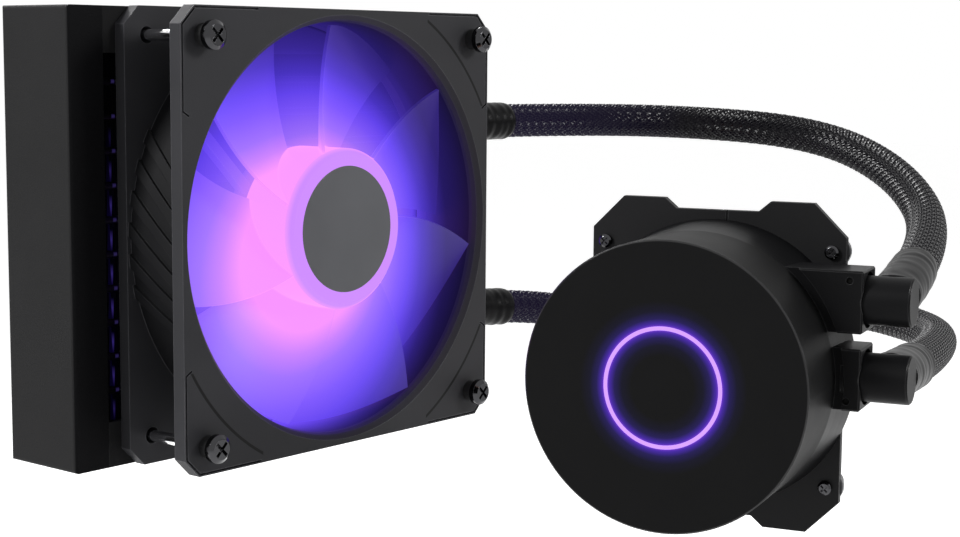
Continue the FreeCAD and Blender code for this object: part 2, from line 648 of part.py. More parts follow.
def light_ring():
    """The light guide: a thin ring level with the cap's face, on legs that lead light to it from behind."""
    ring = tube(RING_R + RING_WIDTH / 2, RING_R - RING_WIDTH / 2, 0, RING_DEPTH)
    legs = around(rod(RING_LEG_R, RING_DEPTH - 0.2, CAP_WALL, 0, RING_R), RING_LEGS)
    return fused([ring] + legs)


def port_bores(height):
    """What is drilled for one elbow: its seat with a flared mouth, the spout's bore and the pin's hole."""
    flare = Part.makeCone(PORT_BORE_R, PORT_BORE_R + MOUTH_FLARE, MOUTH_FLARE_DEPTH,
                          FreeCAD.Vector(BLOCK_OUT - MOUTH_FLARE_DEPTH, PORT_DEPTH, height), FreeCAD.Vector(1, 0, 0))
    return [cross_rod(PORT_BORE_R, SEAT_IN, BLOCK_OUT + 1, PORT_DEPTH, height), flare, pin(height, 2.0),
            cross_rod(SPOUT_R + ELBOW_GAP, SPOUT_IN - 1.0, BLOCK_OUT, PORT_DEPTH, height)]


def port_block(height):
    """The block that stands out of the body's side for one elbow, with its outer edges taken off."""
    low, high = height - BLOCK_HEIGHT / 2, height + BLOCK_HEIGHT / 2
    block = box(BLOCK_IN, BLOCK_OUT, BLOCK_FRONT, BLOCK_BACK, low, high)
    edges = [e for e in block.Edges if abs(e.CenterOfMass.y - BLOCK_FRONT) < 0.01 or abs(e.CenterOfMass.x - BLOCK_OUT) < 0.01]
    block = block.makeChamfer(BLOCK_EDGE, edges)
    gap = tube(BODY_R + BLOCK_GAP, BODY_R - 4.0, BLOCK_FRONT - 1, BLOCK_GAP_FLOOR)
    return block.cut(gap).cut(rod(BODY_R - 3.9, 0, BLOCK_GAP_FLOOR))


def passages():
    """The water's two ways from the ports to the rooms behind and before the volute plate."""
    upper, lower = PORT_HEIGHTS
    inward = cross_rod(SPOUT_BORE, 2.0, SPOUT_IN, PORT_DEPTH, upper)
    down = rod(SPOUT_BORE, PORT_DEPTH - SPOUT_BORE, BODY_BACK, 2.0, upper)
    outward = cross_rod(SPOUT_BORE, IMPELLER_ROOM_R - 2.0, SPOUT_IN, PORT_DEPTH, lower)
    return [inward, down, outward]


def pump_body():
    """The housing: a flared ring under the cap, the rotor's can, the water rooms and the two port blocks."""
    lip = CAP_R - CAP_WALL - SPIGOT_GAP
    body = turned([(0, CAN_FRONT), (CAN_R, CAN_FRONT), (CAN_R, CAP_LENGTH), (lip - 1.6, CAP_LENGTH),
                   (lip - 1.6, CAP_LENGTH - SPIGOT), (lip, CAP_LENGTH - SPIGOT), (lip, CAP_LENGTH),
                   (CAP_R, CAP_LENGTH), (CAP_R + 0.35, CAP_LENGTH + RING_STEP), (CAP_R + 0.9, CAP_LENGTH + RING_SWELL),
                   (BODY_R, BODY_BACK), (NECK_R, BODY_BACK), (NECK_R, NECK_BACK), (0, NECK_BACK)])
    blocks = [port_block(height) for height in PORT_HEIGHTS]
    posts = around(rod(POST_R, PUMP_BOARD_FRONT + BOARD, CAP_LENGTH + 1, 0, BOARD_POST_CIRCLE), 3, 60)
    body = fused([body] + blocks + posts)
    rooms = [rod(CAN_R - CAN_WALL, CAN_FRONT + CAN_WALL, ROOM_FRONT + 1), rod(PUMP_SHAFT_R, CAN_FRONT + 0.3, ROOM_FRONT),
             rod(IMPELLER_ROOM_R, ROOM_FRONT, ROOM_BACK + 1), rod(WATER_ROOM_R, ROOM_BACK, NECK_BACK + 1)]
    rooms += passages() + port_bores(PORT_HEIGHTS[0]) + port_bores(PORT_HEIGHTS[1])
    rooms += around(rod(BASE_SCREW_R, ROOM_BACK + 1.0, NECK_BACK + 1, 0, BASE_SCREW_CIRCLE), BASE_SCREWS, 22.5)
    slot_back = BODY_BACK - CABLE_SLOT_BACK
    rooms.append(box(-BODY_R - 1, CABLE_SLOT_DEEP - CAP_R, slot_back - CABLE_SLOT, slot_back, -CABLE_SLOT, CABLE_SLOT))
    return body.cut(Part.makeCompound(rooms))


def volute_plate():
    """The plate between the impeller's room and the cold plate's, with the eye that water is drawn through."""
    plate = rod(WATER_ROOM_R, ROOM_BACK, ROOM_BACK + VOLUTE_PLATE).cut(rod(VOLUTE_EYE_R, ROOM_BACK - 1, BODY_BACK))
    return plate.cut(Part.makeCompound(passages()))


def impeller():
    """The wet rotor: a magnet's carrier, a disc and curved vanes, running on a fixed shaft."""
    disc_front = ROOM_FRONT + ROTOR_BACK
    blade_front = disc_front + IMPELLER_DISC
    disc = rod(IMPELLER_R, disc_front, blade_front)
    neck = rod(5.0, CAN_FRONT + CAN_WALL + 1.0, disc_front)
    bore_r = PUMP_SHAFT_R + PUMP_SHAFT_GAP
    start = FreeCAD.Vector(3.2, blade_front, 0)
    bend = FreeCAD.Vector(8.2, blade_front, -1.2)
    end = FreeCAD.Vector(IMPELLER_R - 0.4, blade_front, -5.2)
    shift = FreeCAD.Vector(0, 0, IMPELLER_VANE)
    wire = Part.Wire([Part.Arc(start, bend, end).toShape(), Part.makeLine(end, end + shift),
                      Part.Arc(end + shift, bend + shift, start + shift).toShape(),
                      Part.makeLine(start + shift, start)])
    vane = Part.Face(wire).extrude(FreeCAD.Vector(0, IMPELLER_BLADE, 0))
    hub = rod(3.6, blade_front - 0.5, blade_front + IMPELLER_BLADE)
    rotor = fused([disc, neck, hub] + around(vane, IMPELLER_BLADES))
    return rotor.cut(rod(bore_r, 0, BODY_BACK))


def pump_magnet():
    """The ring magnet on the impeller's neck."""
    front = CAN_FRONT + CAN_WALL + 1.0
    return tube(CAN_R - CAN_WALL - ROTOR_GAP, 5.0, front, ROOM_FRONT + ROTOR_BACK - 1.5)


def pump_stator():
    """The stator's iron: a ring with a tooth for every coil."""
    back = CAP_LENGTH
    front = back - PUMP_STATOR_LENGTH
    ring = tube(PUMP_STATOR_R, PUMP_STATOR_R - 3.0, front, back)
    tooth = box(-2.0, 2.0, front + 2.0, back - 2.0, CAN_R + 0.8, PUMP_STATOR_R - 2.0)
    teeth = [t.cut(rod(CAN_R + 0.5, front - 1, back + 1)) for t in around(tooth, COIL_COUNT)]
    return fused([ring] + teeth)


def pump_coils():
    """A winding round every tooth."""
    back = CAP_LENGTH
    front = back - PUMP_STATOR_LENGTH
    outer = box(-3.6, 3.6, front + 0.4, back - 0.4, CAN_R + 2.0, PUMP_STATOR_R - 4.2)
    hole = box(-2.0, 2.0, front + 2.0, back - 2.0, 0, PUMP_STATOR_R)
    return Part.makeCompound(around(outer.cut(hole), COIL_COUNT))


def bracket_outline():
    """The mounting bracket's whole outline: cut corners, and a shallow notch top and bottom."""
    w, h, c = BRACKET_HALF_W, BRACKET_HALF_H, BRACKET_CORNER
    flat, slope, low = BRACKET_NOTCH_W, BRACKET_NOTCH_SLOPE, BRACKET_HALF_H - BRACKET_NOTCH
    upper = [(w, h - c), (w - c, h), (flat + slope, h), (flat, low), (-flat, low), (-flat - slope, h), (-w + c, h),
             (-w, h - c)]
    return upper + [(-x, -z) for x, z in upper]


def bracket_half(side):
    """One half of the bracket. The two are the same pressing, turned half round, so that they meet off centre."""
    plate = slab(bracket_outline(), BODY_BACK, BODY_BACK + BRACKET).cut(rod(NECK_R + NECK_GAP, 0, PUMP_BACK))
    joint, gap, far = BRACKET_JOINT, BRACKET_SLIT / 2, BRACKET_HALF_H + 1
    back = BODY_BACK + BRACKET / 2
    keep = fused([box(joint + gap, far, 0, back, 0, far), box(-joint + gap, far, 0, back, -far, 0),
                  box(joint + gap - BRACKET_LAP, far, back, PUMP_BACK, 0, far),
                  box(-joint + gap + BRACKET_LAP, far, back, PUMP_BACK, -far, 0)])
    if side < 0:
        keep.rotate(FreeCAD.Vector(0, 0, 0), FreeCAD.Vector(0, 1, 0), 180)
    half = plate.common(keep)
    holes = [rod(STUD_R, 0, PUMP_BACK, x, z) for x, z in bracket_places()]
    return half.cut(Part.makeCompound(holes)).removeSplitter()


def bracket_places():
    """The four screws of the bracket."""
    half = BRACKET_HALF_SCREWS
    return [(x, z) for x in (-half, half) for z in (-half, half)]


def standoff():
    """A flanged standoff behind the bracket, threaded from both ends."""
    post = rod(STANDOFF_FLANGE_R, 0, STANDOFF_FLANGE).fuse(rod(STANDOFF_R, STANDOFF_FLANGE, STANDOFF_LENGTH))
    post = post.cut(rod(STUD_R, -1, 3.0))
    return post.cut(rod(STANDOFF_HOLE_R, 3.2, STANDOFF_LENGTH + 1)).removeSplitter()


def base_frame():
    """The plastic frame behind the bracket, with the gasket's groove."""
    frame = slab(cut_corners(BASE_HALF, BASE_HALF, BASE_CORNER), NECK_BACK, BASE_BACK)
    cuts = [rod(WATER_ROOM_R, 0, PUMP_BACK), tube(GASKET_OUT_R, GASKET_IN_R, BASE_BACK - GASKET, BASE_BACK + 1)]
    cuts += around(rod(BASE_SCREW_R, 0, PUMP_BACK, 0, BASE_SCREW_CIRCLE), BASE_SCREWS, 22.5)
    return frame.cut(Part.makeCompound(cuts))


def cold_plate():
    """The copper plate, with its field of fine fins on the wet side and holes for the base screws."""
    plate = slab(cut_corners(COLD_HALF, COLD_HALF, COLD_CORNER), BASE_BACK, PUMP_BACK)
    half = MICROFIN_FIELD / 2
    count = int(MICROFIN_FIELD / MICROFIN_PITCH)
    fins_made = []
    for k in range(count):
        x = (k - (count - 1) / 2) * MICROFIN_PITCH
        fins_made.append(box(x - MICROFIN / 2, x + MICROFIN / 2, BASE_BACK - MICROFIN_HEIGHT, BASE_BACK + 0.2, -half, half))
    plate = fused([plate] + fins_made)
    holes = around(rod(BASE_SCREW_R, 0, PUMP_BACK + 1, 0, BASE_SCREW_CIRCLE), BASE_SCREWS, 22.5)
    sinks = around(rod(BASE_SCREW_HEAD_R, PUMP_BACK - BASE_SCREW_HEAD - 0.2, PUMP_BACK + 1, 0, BASE_SCREW_CIRCLE),
                   BASE_SCREWS, 22.5)
    return plate.cut(Part.makeCompound(holes + sinks))


def base_screws():
    """Eight screws, sunk in the cold plate, that hold plate, frame, bracket and body together."""
    head_back = PUMP_BACK - 0.2
    shank = rod(BASE_SCREW_R, ROOM_BACK + 1.0, head_back, 0, BASE_SCREW_CIRCLE)
    head = rod(BASE_SCREW_HEAD_R, head_back - BASE_SCREW_HEAD, head_back, 0, BASE_SCREW_CIRCLE)
    return Part.makeCompound(around(shank.fuse(head).removeSplitter(), BASE_SCREWS, 22.5))


def pin(height, extra=0.0):
    """The pin across a port block, which lies in the elbow's groove."""
    away = PIN_OFFSET if height > PORT_HEIGHTS[1] else -PIN_OFFSET
    return rod(PIN_R, BLOCK_FRONT + 0.5 - extra, BLOCK_BACK - 2.0, PIN_X, height + away)


def elbow(height, tilt):
    """A swivelling elbow: spout with a seal's groove, round body with the pin's groove, and a leg for the hose."""
    groove = PIN_OFFSET - PIN_R - PIN_GAP
    body = cross_rod(ELBOW_R, SEAT_IN, ELBOW_OUT, PORT_DEPTH, height)
    edges = [e for e in body.Edges if abs(e.CenterOfMass.x - ELBOW_OUT) < 0.01]
    body = body.makeChamfer(0.4, edges)
    spout = cross_rod(SPOUT_R, SPOUT_IN, SEAT_IN, PORT_DEPTH, height)
    axis_point = FreeCAD.Vector(ELBOW_LEG_AXIS, PORT_DEPTH, height)
    way = FreeCAD.Vector(0, math.cos(math.radians(tilt)), math.sin(math.radians(tilt)))
    leg = Part.makeCylinder(ELBOW_LEG_R, ELBOW_LEG, axis_point, way)
    tail = Part.makeCylinder(TAIL_R, ELBOW_LEG + TAIL, axis_point, way)
    piece = fused([body, spout, leg, tail])
    pin_groove = cross_rod(ELBOW_R + 1, PIN_X - PIN_R - PIN_GAP, PIN_X + PIN_R + PIN_GAP, PORT_DEPTH, height).cut(
        cross_rod(groove, PIN_X - 3, PIN_X + 3, PORT_DEPTH, height))
    seal_groove = cross_rod(SPOUT_R + 1, SPOUT_IN + 2, SPOUT_IN + 2 + SEAL, PORT_DEPTH, height).cut(
        cross_rod(SPOUT_R - 0.9, SPOUT_IN, SPOUT_IN + 6, PORT_DEPTH, height))
    bore_in = cross_rod(SPOUT_BORE, SPOUT_IN - 1, ELBOW_LEG_AXIS, PORT_DEPTH, height)
    bore_out = Part.makeCylinder(SPOUT_BORE * 0.9, ELBOW_LEG + TAIL + 1, axis_point, way)
    return piece.cut(Part.makeCompound([pin_groove, seal_groove, bore_in, bore_out]))


def elbow_seal(height):
    """The rubber ring in a spout's groove."""
    return cross_rod(SPOUT_R, SPOUT_IN + 2, SPOUT_IN + 2 + SEAL, PORT_DEPTH, height).cut(
        cross_rod(SPOUT_R - 0.9, SPOUT_IN, SPOUT_IN + 6, PORT_DEPTH, height))


def make_pump():
    """Cap, lights, motor, impeller, body, bracket, cold plate and elbows, all placed beside the radiator."""
    board_front = CAP_WALL + LED_BOARD_GAP
    led = box(-1.4, 1.4, board_front - 1.5, board_front, RING_R - 1.4, RING_R + 1.4)
    pieces = {"pump_cap": pump_cap(), "light_ring": light_ring(), "light_board": rod(LED_BOARD_R, board_front, board_front + BOARD),
              "ring_leds": Part.makeCompound(around(led, LED_COUNT, 15.0)), "pump_body": pump_body(),
              "volute_plate": volute_plate(), "impeller": impeller(), "pump_magnet": pump_magnet(),
              "pump_shaft": rod(PUMP_SHAFT_R, CAN_FRONT + 0.3, ROOM_FRONT + SHAFT_OUT), "pump_stator": pump_stator(),
              "pump_coils": pump_coils(),
              "pump_board": tube(PUMP_BOARD_R, CAN_R + 0.5, PUMP_BOARD_FRONT, PUMP_BOARD_FRONT + BOARD),
              "bracket_left": bracket_half(-1), "bracket_right": bracket_half(1),
              "bracket_screws": at_places(screw(STUD_HEAD + BRACKET + 2.5, STUD_HEAD_R, STUD_HEAD, STUD_R),
                                          bracket_places(), BODY_BACK - STUD_HEAD),
              "bracket_standoffs": at_places(standoff(), bracket_places(), NECK_BACK),
              "base_frame": base_frame(), "base_gasket": tube(GASKET_OUT_R, GASKET_IN_R, BASE_BACK - GASKET, BASE_BACK),
              "cold_plate": cold_plate(), "base_screws": base_screws()}
    for name, height, tilt in zip(("upper", "lower"), PORT_HEIGHTS, LEG_TILTS):
        pieces[name + "_elbow_pin"] = pin(height)
        pieces[name + "_elbow"] = elbow(height, tilt)
        pieces[name + "_elbow_seal"] = elbow_seal(height)
    for name, shape in pieces.items():
        save(name, on_pump(shape))


# Hoses

def route_pieces(points):
    """A route as straight runs and the arcs between them: (kind, length, data) for each."""
    corners = [FreeCAD.Vector(*p) for p in points]
    pieces = []
    here = corners[0]
    for before, corner, after in zip(corners, corners[1:], corners[2:]):
        back = before - corner
        on = after - corner
        shorter = min(back.Length, on.Length)
        back.normalize()
        on.normalize()
        turn = math.pi - back.getAngle(on)
        reach = ARC_SHARE * shorter
        radius = reach / math.tan(turn / 2)
        start = corner + back * reach
        middle = back + on
        middle.normalize()
        centre = corner + middle * (radius / math.cos(turn / 2))
        pieces.append(("run", (start - here).Length, (here, start)))
        pieces.append(("arc", radius * turn, (centre, start - centre, back.cross(on).negative(), turn)))
        here = corner + on * reach
    pieces.append(("run", (corners[-1] - here).Length, (here, corners[-1])))
    return pieces


def route_wire(points, low=0.0, high=None):
    """The stretch of a route between two lengths along it, as one wire."""
    edges = []
    passed = 0.0
    for kind, length, data in route_pieces(points):
        a = max(low - passed, 0.0) / length
        b = 1.0 if high is None else min((high - passed) / length, 1.0)
        passed += length
        if a >= 1.0 or b <= 0.0 or b - a < 1e-6:
            continue
        if kind == "run":
            start, end = data
            edges.append(Part.LineSegment(start + (end - start) * a, start + (end - start) * b).toShape())
        else:
            centre, arm, axis, turn = data
            three = [centre + FreeCAD.Rotation(axis, math.degrees(turn * s)).multVec(arm) for s in (a, (a + b) / 2, b)]
            edges.append(Part.Arc(*three).toShape())
    return Part.Wire(edges)


def route_length(points):
    """Length of a whole route."""
    return sum(length for kind, length, data in route_pieces(points))


def swept(wire, radius):
    """A round bar along a wire."""
    first = wire.Edges[0]
    start = first.valueAt(first.FirstParameter)
    way = first.tangentAt(first.FirstParameter)
    ring = Part.Wire([Part.makeCircle(radius, start, way)])
    return wire.makePipeShell([ring], True, False)


def hollow(points, outer, inner, low=0.0, high=None):
    """A hose or a sleeve along part of a route."""
    wire = route_wire(points, low, high)
    return swept(wire, outer).cut(swept(wire, inner))


def make_hoses():
    """The two hoses, with a shrunk sleeve at each end of both."""
    for name, points in (("upper", UPPER_ROUTE), ("lower", LOWER_ROUTE)):
        length = route_length(points)
        hose = hollow(points, HOSE_R, HOSE_BORE_R)
        radii = [round(data[1].Length, 1) for kind, size, data in route_pieces(points) if kind == "arc"]
        expected = math.pi * (HOSE_R ** 2 - HOSE_BORE_R ** 2) * length
        print(name, "hose length", round(length, 1), "radii", radii, "volume share", round(hose.Volume / expected, 4))
        print(name, "route", [tuple(round(v, 2) for v in p) for p in points])
        save(name + "_hose", hose)
        bore = HOSE_R + SLEEVE_GAP
        save(name + "_radiator_sleeve", hollow(points, SLEEVE_R, bore, 0.0, RADIATOR_SLEEVE))
        save(name + "_pump_sleeve", hollow(points, SLEEVE_R, bore, length - PUMP_SLEEVE, length))


os.makedirs("parts", exist_ok=True)
make_radiator()
make_fan()
make_pump()
make_hoses()
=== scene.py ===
# %% [markdown]
# # A liquid cooler for a computer's processor
#
# A square radiator with a lit fan stands beside a round pump, and two braided hoses join them. The rigid parts
# come from the CAD model as they are, and get their finish here. What CAD leaves plain is made here: the braid
# on the hoses, the wrinkled sleeves on their ends, the fine folded fins, and the light.
#
# Everything is in metres, in the CAD model's own frame: X along the radiator, Y the way the air blows, Z up.

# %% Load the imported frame
import math
import bmesh
import bpy
from mathutils import Euler, Matrix, Vector, noise


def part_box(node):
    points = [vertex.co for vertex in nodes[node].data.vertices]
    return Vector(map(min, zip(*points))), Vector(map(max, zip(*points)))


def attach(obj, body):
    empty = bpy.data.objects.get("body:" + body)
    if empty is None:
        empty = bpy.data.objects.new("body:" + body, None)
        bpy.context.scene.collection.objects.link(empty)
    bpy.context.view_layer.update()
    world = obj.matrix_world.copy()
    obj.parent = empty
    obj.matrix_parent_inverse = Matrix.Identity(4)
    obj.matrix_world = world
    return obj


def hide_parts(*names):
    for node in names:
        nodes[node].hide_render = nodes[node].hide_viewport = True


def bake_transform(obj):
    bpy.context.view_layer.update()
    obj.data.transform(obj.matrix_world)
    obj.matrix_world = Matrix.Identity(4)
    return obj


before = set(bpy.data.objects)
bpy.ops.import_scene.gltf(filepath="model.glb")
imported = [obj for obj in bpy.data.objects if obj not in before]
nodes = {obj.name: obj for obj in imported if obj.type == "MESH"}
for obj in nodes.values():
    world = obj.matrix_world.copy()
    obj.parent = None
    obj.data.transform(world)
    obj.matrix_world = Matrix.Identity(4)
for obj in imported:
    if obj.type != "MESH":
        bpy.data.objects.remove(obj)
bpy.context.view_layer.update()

# %% [markdown]
# ## The pump's own frame
#
# The pump stands turned beside the radiator. Its face's middle and the way that its axis runs are needed for
# everything that is measured from them, such as the light round the lit line.

# %% Place of the pump
PUMP_PLACE = Vector((-0.00155, -0.15747, -0.0312))
PUMP_TURN = math.radians(-74.87)
pump_axis = Matrix.Rotation(PUMP_TURN, 3, "Z") @ Vector((0, 1, 0))
print("pump's axis", [round(v, 3) for v in pump_axis])

# %% [markdown]
# ## Camera
#
# A product photograph like this is taken from a little above, with a lens long enough to keep the circles round.
# The lens here is a 68 mm one on a 36 mm wide sensor. It stands 0.36 m to the left of the radiator's middle and
# 0.4 m before it.

# %% Camera
CAMERA_PLACE = (-0.3599, -0.3952, 0.0483)
LENS = 67.71
LOOK_DOWN, LOOK_RIGHT, ROLL = math.radians(6.78), math.radians(50.57), math.radians(0.44)
bpy.ops.object.camera_add(location=CAMERA_PLACE)
camera = bpy.context.object
camera.name = "camera"
camera.data.sensor_width = 36.0
camera.data.lens = LENS
aim = Euler((math.radians(90) - LOOK_DOWN, 0, -LOOK_RIGHT)).to_matrix() @ Matrix.Rotation(ROLL, 3, "Z")
camera.rotation_euler = aim.to_euler()
camera.data.clip_start = 0.01
camera.data.clip_end = 20
bpy.context.scene.camera = camera
print("camera looks along", [round(v, 3) for v in aim @ Vector((0, 0, -1))])

# %% [markdown]
# The world and the materials are built from many small nodes. Two helpers keep that short: one adds a node
# together with its settings and its inputs' values, the other makes several links at once.


# %% Helpers for nodes
def add(tree, kind, values=None, **settings):
    """A new shader node in a tree, with its settings and the values of its inputs."""
    made = tree.nodes.new("ShaderNode" + kind)
    for name, value in settings.items():
        setattr(made, name, value)
    for key, value in (values or {}).items():
        made.inputs[key].default_value = value
    return made


def wire(tree, *links):
    """Links nodes. Each link is given as a node and its output, then a node and its input."""
    for source, output, target, entry in links:
        tree.links.new(source.outputs[output], target.inputs[entry])


print("add and wire ready")

# %% [markdown]
# ## Light, backdrop and floor
#
# Black plastic shows only what it reflects. So the camera and the reflections get a white surround. What falls
# on the object itself is a dimmer share of it and a few soft lamps: one high on the left and a little behind, a
# weaker one at the front right, and a strip behind for the upper edges.

# %% World
SURROUND_SHARE = 0.40
world = bpy.data.worlds.new("white_studio")
bpy.context.scene.world = world
world.use_nodes = True
tree = world.node_tree
backdrop = tree.nodes["Background"]
backdrop.inputs["Color"].default_value = (1, 1, 1, 1)
rays = add(tree, "LightPath")
seen = add(tree, "Math", operation="MAXIMUM")
clear = add(tree, "Math", operation="MAXIMUM")
strength = add(tree, "MapRange", {"To Min": SURROUND_SHARE, "To Max": 1.0})
wire(tree, (rays, "Is Camera Ray", seen, 0), (rays, "Is Transmission Ray", seen, 1), (seen, 0, clear, 0),
     (rays, "Is Glossy Ray", clear, 1), (clear, 0, strength, "Value"), (strength, "Result", backdrop, "Strength"))
bpy.context.scene.view_settings.view_transform = "Standard"
print("world ready")


# %% Lamps
def soft_lamp(name, place, target, size, power):
    """A soft lamp of a width and height at a place, turned towards a target."""
    bpy.ops.object.light_add(type="AREA", location=place)
    lamp = bpy.context.object
    lamp.name = name
    lamp.data.shape = "RECTANGLE"
    lamp.data.size, lamp.data.size_y = size
    lamp.data.energy = power
    lamp.rotation_euler = (Vector(target) - Vector(place)).to_track_quat("-Z", "Y").to_euler()
    return lamp


middle = (0.04, -0.09, 0.0)
soft_lamp("lamp_left_high", (-0.85, 0.28, 0.60), middle, (0.25, 0.25), 12.0)
soft_lamp("lamp_front", (0.45, -0.98, 0.45), middle, (0.30, 0.25), 6.0)
soft_lamp("lamp_behind", (0.35, 0.75, 0.7), middle, (0.9, 0.2), 9.0)

# %% [markdown]
# The floor is plain and pale. It lies well below, because the cooler hangs on a computer's case by its radiator.
# Its light is white wherever the camera or a reflection sees it, and its shadow stays.

# %% Floor
FLOOR_Z = -0.28
FLOOR_SHINE = 0.62
bpy.ops.object.select_all(action="DESELECT")
bpy.ops.mesh.primitive_plane_add(size=12.0, location=(0, 0, FLOOR_Z))
floor = bpy.context.object
floor.name = "floor"
paper = bpy.data.materials.new("pale_floor")
paper.use_nodes = True
tree = paper.node_tree
rays = add(tree, "LightPath")
seen = add(tree, "Math", operation="MAXIMUM")
wire(tree, (rays, "Is Camera Ray", seen, 0), (rays, "Is Glossy Ray", seen, 1))
surface = tree.nodes["Principled BSDF"]
surface.inputs["Base Color"].default_value = (0.8, 0.8, 0.8, 1)
surface.inputs["Roughness"].default_value = 0.9
surface.inputs["Emission Color"].default_value = (1, 1, 1, 1)
shade = add(tree, "Math", {1: FLOOR_SHINE}, operation="MULTIPLY")
wire(tree, (seen, 0, shade, 0), (shade, 0, surface, "Emission Strength"))
floor.data.materials.append(paper)
print("floor at", floor.location.z)

# %% [markdown]
# ## Shared effects
#
# Nearly everything on this object is black, and the pieces are told apart by their grain and gloss: moulded
# plastic has a fine spark-eroded grain, painted metal a smoother orange peel, rubber hardly any gloss. One node
# group makes the grain for all of them. It also finds the edges. No real edge is sharp, so the normal turns a
# little there, and the mask of edges lets a finish be glossier there and take a paler colour, a painted highlight.


# %% A grain that several finishes share
def socket(tree, name, side, kind, value=None):
    """Adds a named socket to a node group."""
    made = tree.interface.new_socket(name=name, in_out=side, socket_type=kind)
    if value is not None:
        made.default_value = value


grain = bpy.data.node_groups.new("moulded_grain", "ShaderNodeTree")
socket(grain, "Scale", "INPUT", "NodeSocketFloat", 1500.0)
socket(grain, "Depth", "INPUT", "NodeSocketFloat", 0.15)
socket(grain, "Edge Radius", "INPUT", "NodeSocketFloat", 0.0003)
socket(grain, "Normal", "OUTPUT", "NodeSocketVector")
socket(grain, "Tone", "OUTPUT", "NodeSocketFloat")
socket(grain, "Edge", "OUTPUT", "NodeSocketFloat")
g_in = grain.nodes.new("NodeGroupInput")
g_out = grain.nodes.new("NodeGroupOutput")
place = add(grain, "TexCoord")
fine = add(grain, "TexNoise", {"Detail": 2.0})
broad = add(grain, "TexNoise", {"Scale": 60.0, "Detail": 3.0})
rounded = add(grain, "Bevel", samples=4)
bump = add(grain, "Bump", {"Distance": 0.0002})
wire(grain, (place, "Object", fine, "Vector"), (place, "Object", broad, "Vector"),
     (g_in, "Scale", fine, "Scale"), (g_in, "Edge Radius", rounded, "Radius"),
     (g_in, "Depth", bump, "Strength"), (fine, "Fac", bump, "Height"), (rounded, "Normal", bump, "Normal"),
     (bump, "Normal", g_out, "Normal"), (broad, "Fac", g_out, "Tone"))
print("group", grain.name)

# %% Its mask of edges
EDGE_FROM, EDGE_AT = 0.995, 0.85
own = add(grain, "NewGeometry")
turned = add(grain, "VectorMath", operation="DOT_PRODUCT")
# The mask of edges, where finishes get their clear coat and a painted highlight.
edge_mask = add(grain, "MapRange", {"From Min": EDGE_FROM, "From Max": EDGE_AT})
wire(grain, (rounded, "Normal", turned, 0), (own, "Normal", turned, 1), (turned, "Value", edge_mask, "Value"),
     (edge_mask, "Result", g_out, "Edge"))
print("edges added to", grain.name)

# %% [markdown]
# The fan's lamps light everything inside its ring: the rotor itself, the ring's inner wall, and the radiator's fins
# behind it. The light is pink near the hub and turns violet, then indigo, further out, and its middle leans to the
# lower left. One group works out that colour from the place, so that the rotor, the frame and the fins agree.
#
# The real blades turn while they shine, so their light fills the gaps between them. Here they stand still. The
# colours therefore run through the fan at a fixed slant, the way that the main view looks, so that in that view a
# gap between two blades has its neighbours' colour. They stay where they are on the object in every other view.


# %% Helpers for places and ramps
def xyz(tree):
    """X, Y and Z of a place in the object's own coordinates."""
    place = add(tree, "TexCoord")
    split = add(tree, "SeparateXYZ")
    wire(tree, (place, "Object", split, 0))
    return split


def color_ramp(tree, first, last, *between):
    """A ramp from a first to a last colour, with a place and a colour for each one between."""
    made = add(tree, "ValToRGB")
    stops = made.color_ramp.elements
    stops[0].color = (*first, 1)
    stops[1].color = (*last, 1)
    for where, color in between:
        stops.new(where).color = (*color, 1)
    return made


print("xyz and color_ramp ready")

# %% The fan's light as a group
GLOW_PLANE = -0.0440
GLOW_SLANT = (-1.216, 0.0, 0.187)
GLOW_LEAN = (0.30, 0, 0.15)
GLOW_FROM, GLOW_TO = 0.018, 0.066
SOFT_SIDE = 0.004
NO_DEPTH = (1, 0, 1)
BLACK = (0, 0, 0)
PINK = (0.95, 0.30, 1.0)
INDIGO = (0.022, 0.012, 0.16)
glow = bpy.data.node_groups.new("fan_light", "ShaderNodeTree")
socket(glow, "Strength", "INPUT", "NodeSocketFloat", 1.0)
socket(glow, "Full To", "INPUT", "NodeSocketFloat", 0.060)
socket(glow, "Gone At", "INPUT", "NodeSocketFloat", 0.062)
socket(glow, "Dark Left Of", "INPUT", "NodeSocketFloat", -1.0)
socket(glow, "Color", "OUTPUT", "NodeSocketColor")
g_in = glow.nodes.new("NodeGroupInput")
g_out = glow.nodes.new("NodeGroupOutput")
print("sockets of", glow.name, len(glow.interface.items_tree))

# %% Its colours, by the place
place = add(glow, "TexCoord")
flat = add(glow, "VectorMath", {1: NO_DEPTH}, operation="MULTIPLY")
split = xyz(glow)
behind = add(glow, "Math", {1: -GLOW_PLANE}, operation="ADD")
aside = add(glow, "VectorMath", {0: GLOW_SLANT}, operation="SCALE")
slanted = add(glow, "VectorMath", operation="ADD")
level = add(glow, "VectorMath", {1: NO_DEPTH}, operation="MULTIPLY")
far = add(glow, "VectorMath", operation="LENGTH")
out_by = add(glow, "VectorMath", operation="LENGTH")
lean = add(glow, "VectorMath", {1: GLOW_LEAN}, operation="DOT_PRODUCT")
reach = add(glow, "Math", operation="ADD")
share = add(glow, "MapRange", {"From Min": GLOW_FROM, "From Max": GLOW_TO})
ramp = color_ramp(glow, PINK, INDIGO, (0.10, PINK), (0.20, (0.58, 0.215, 1.0)), (0.30, (0.34, 0.155, 1.0)),
                  (0.45, (0.205, 0.092, 0.98)), (0.57, (0.130, 0.060, 0.88)), (0.70, (0.068, 0.034, 0.54)),
                  (0.84, (0.040, 0.020, 0.30)))
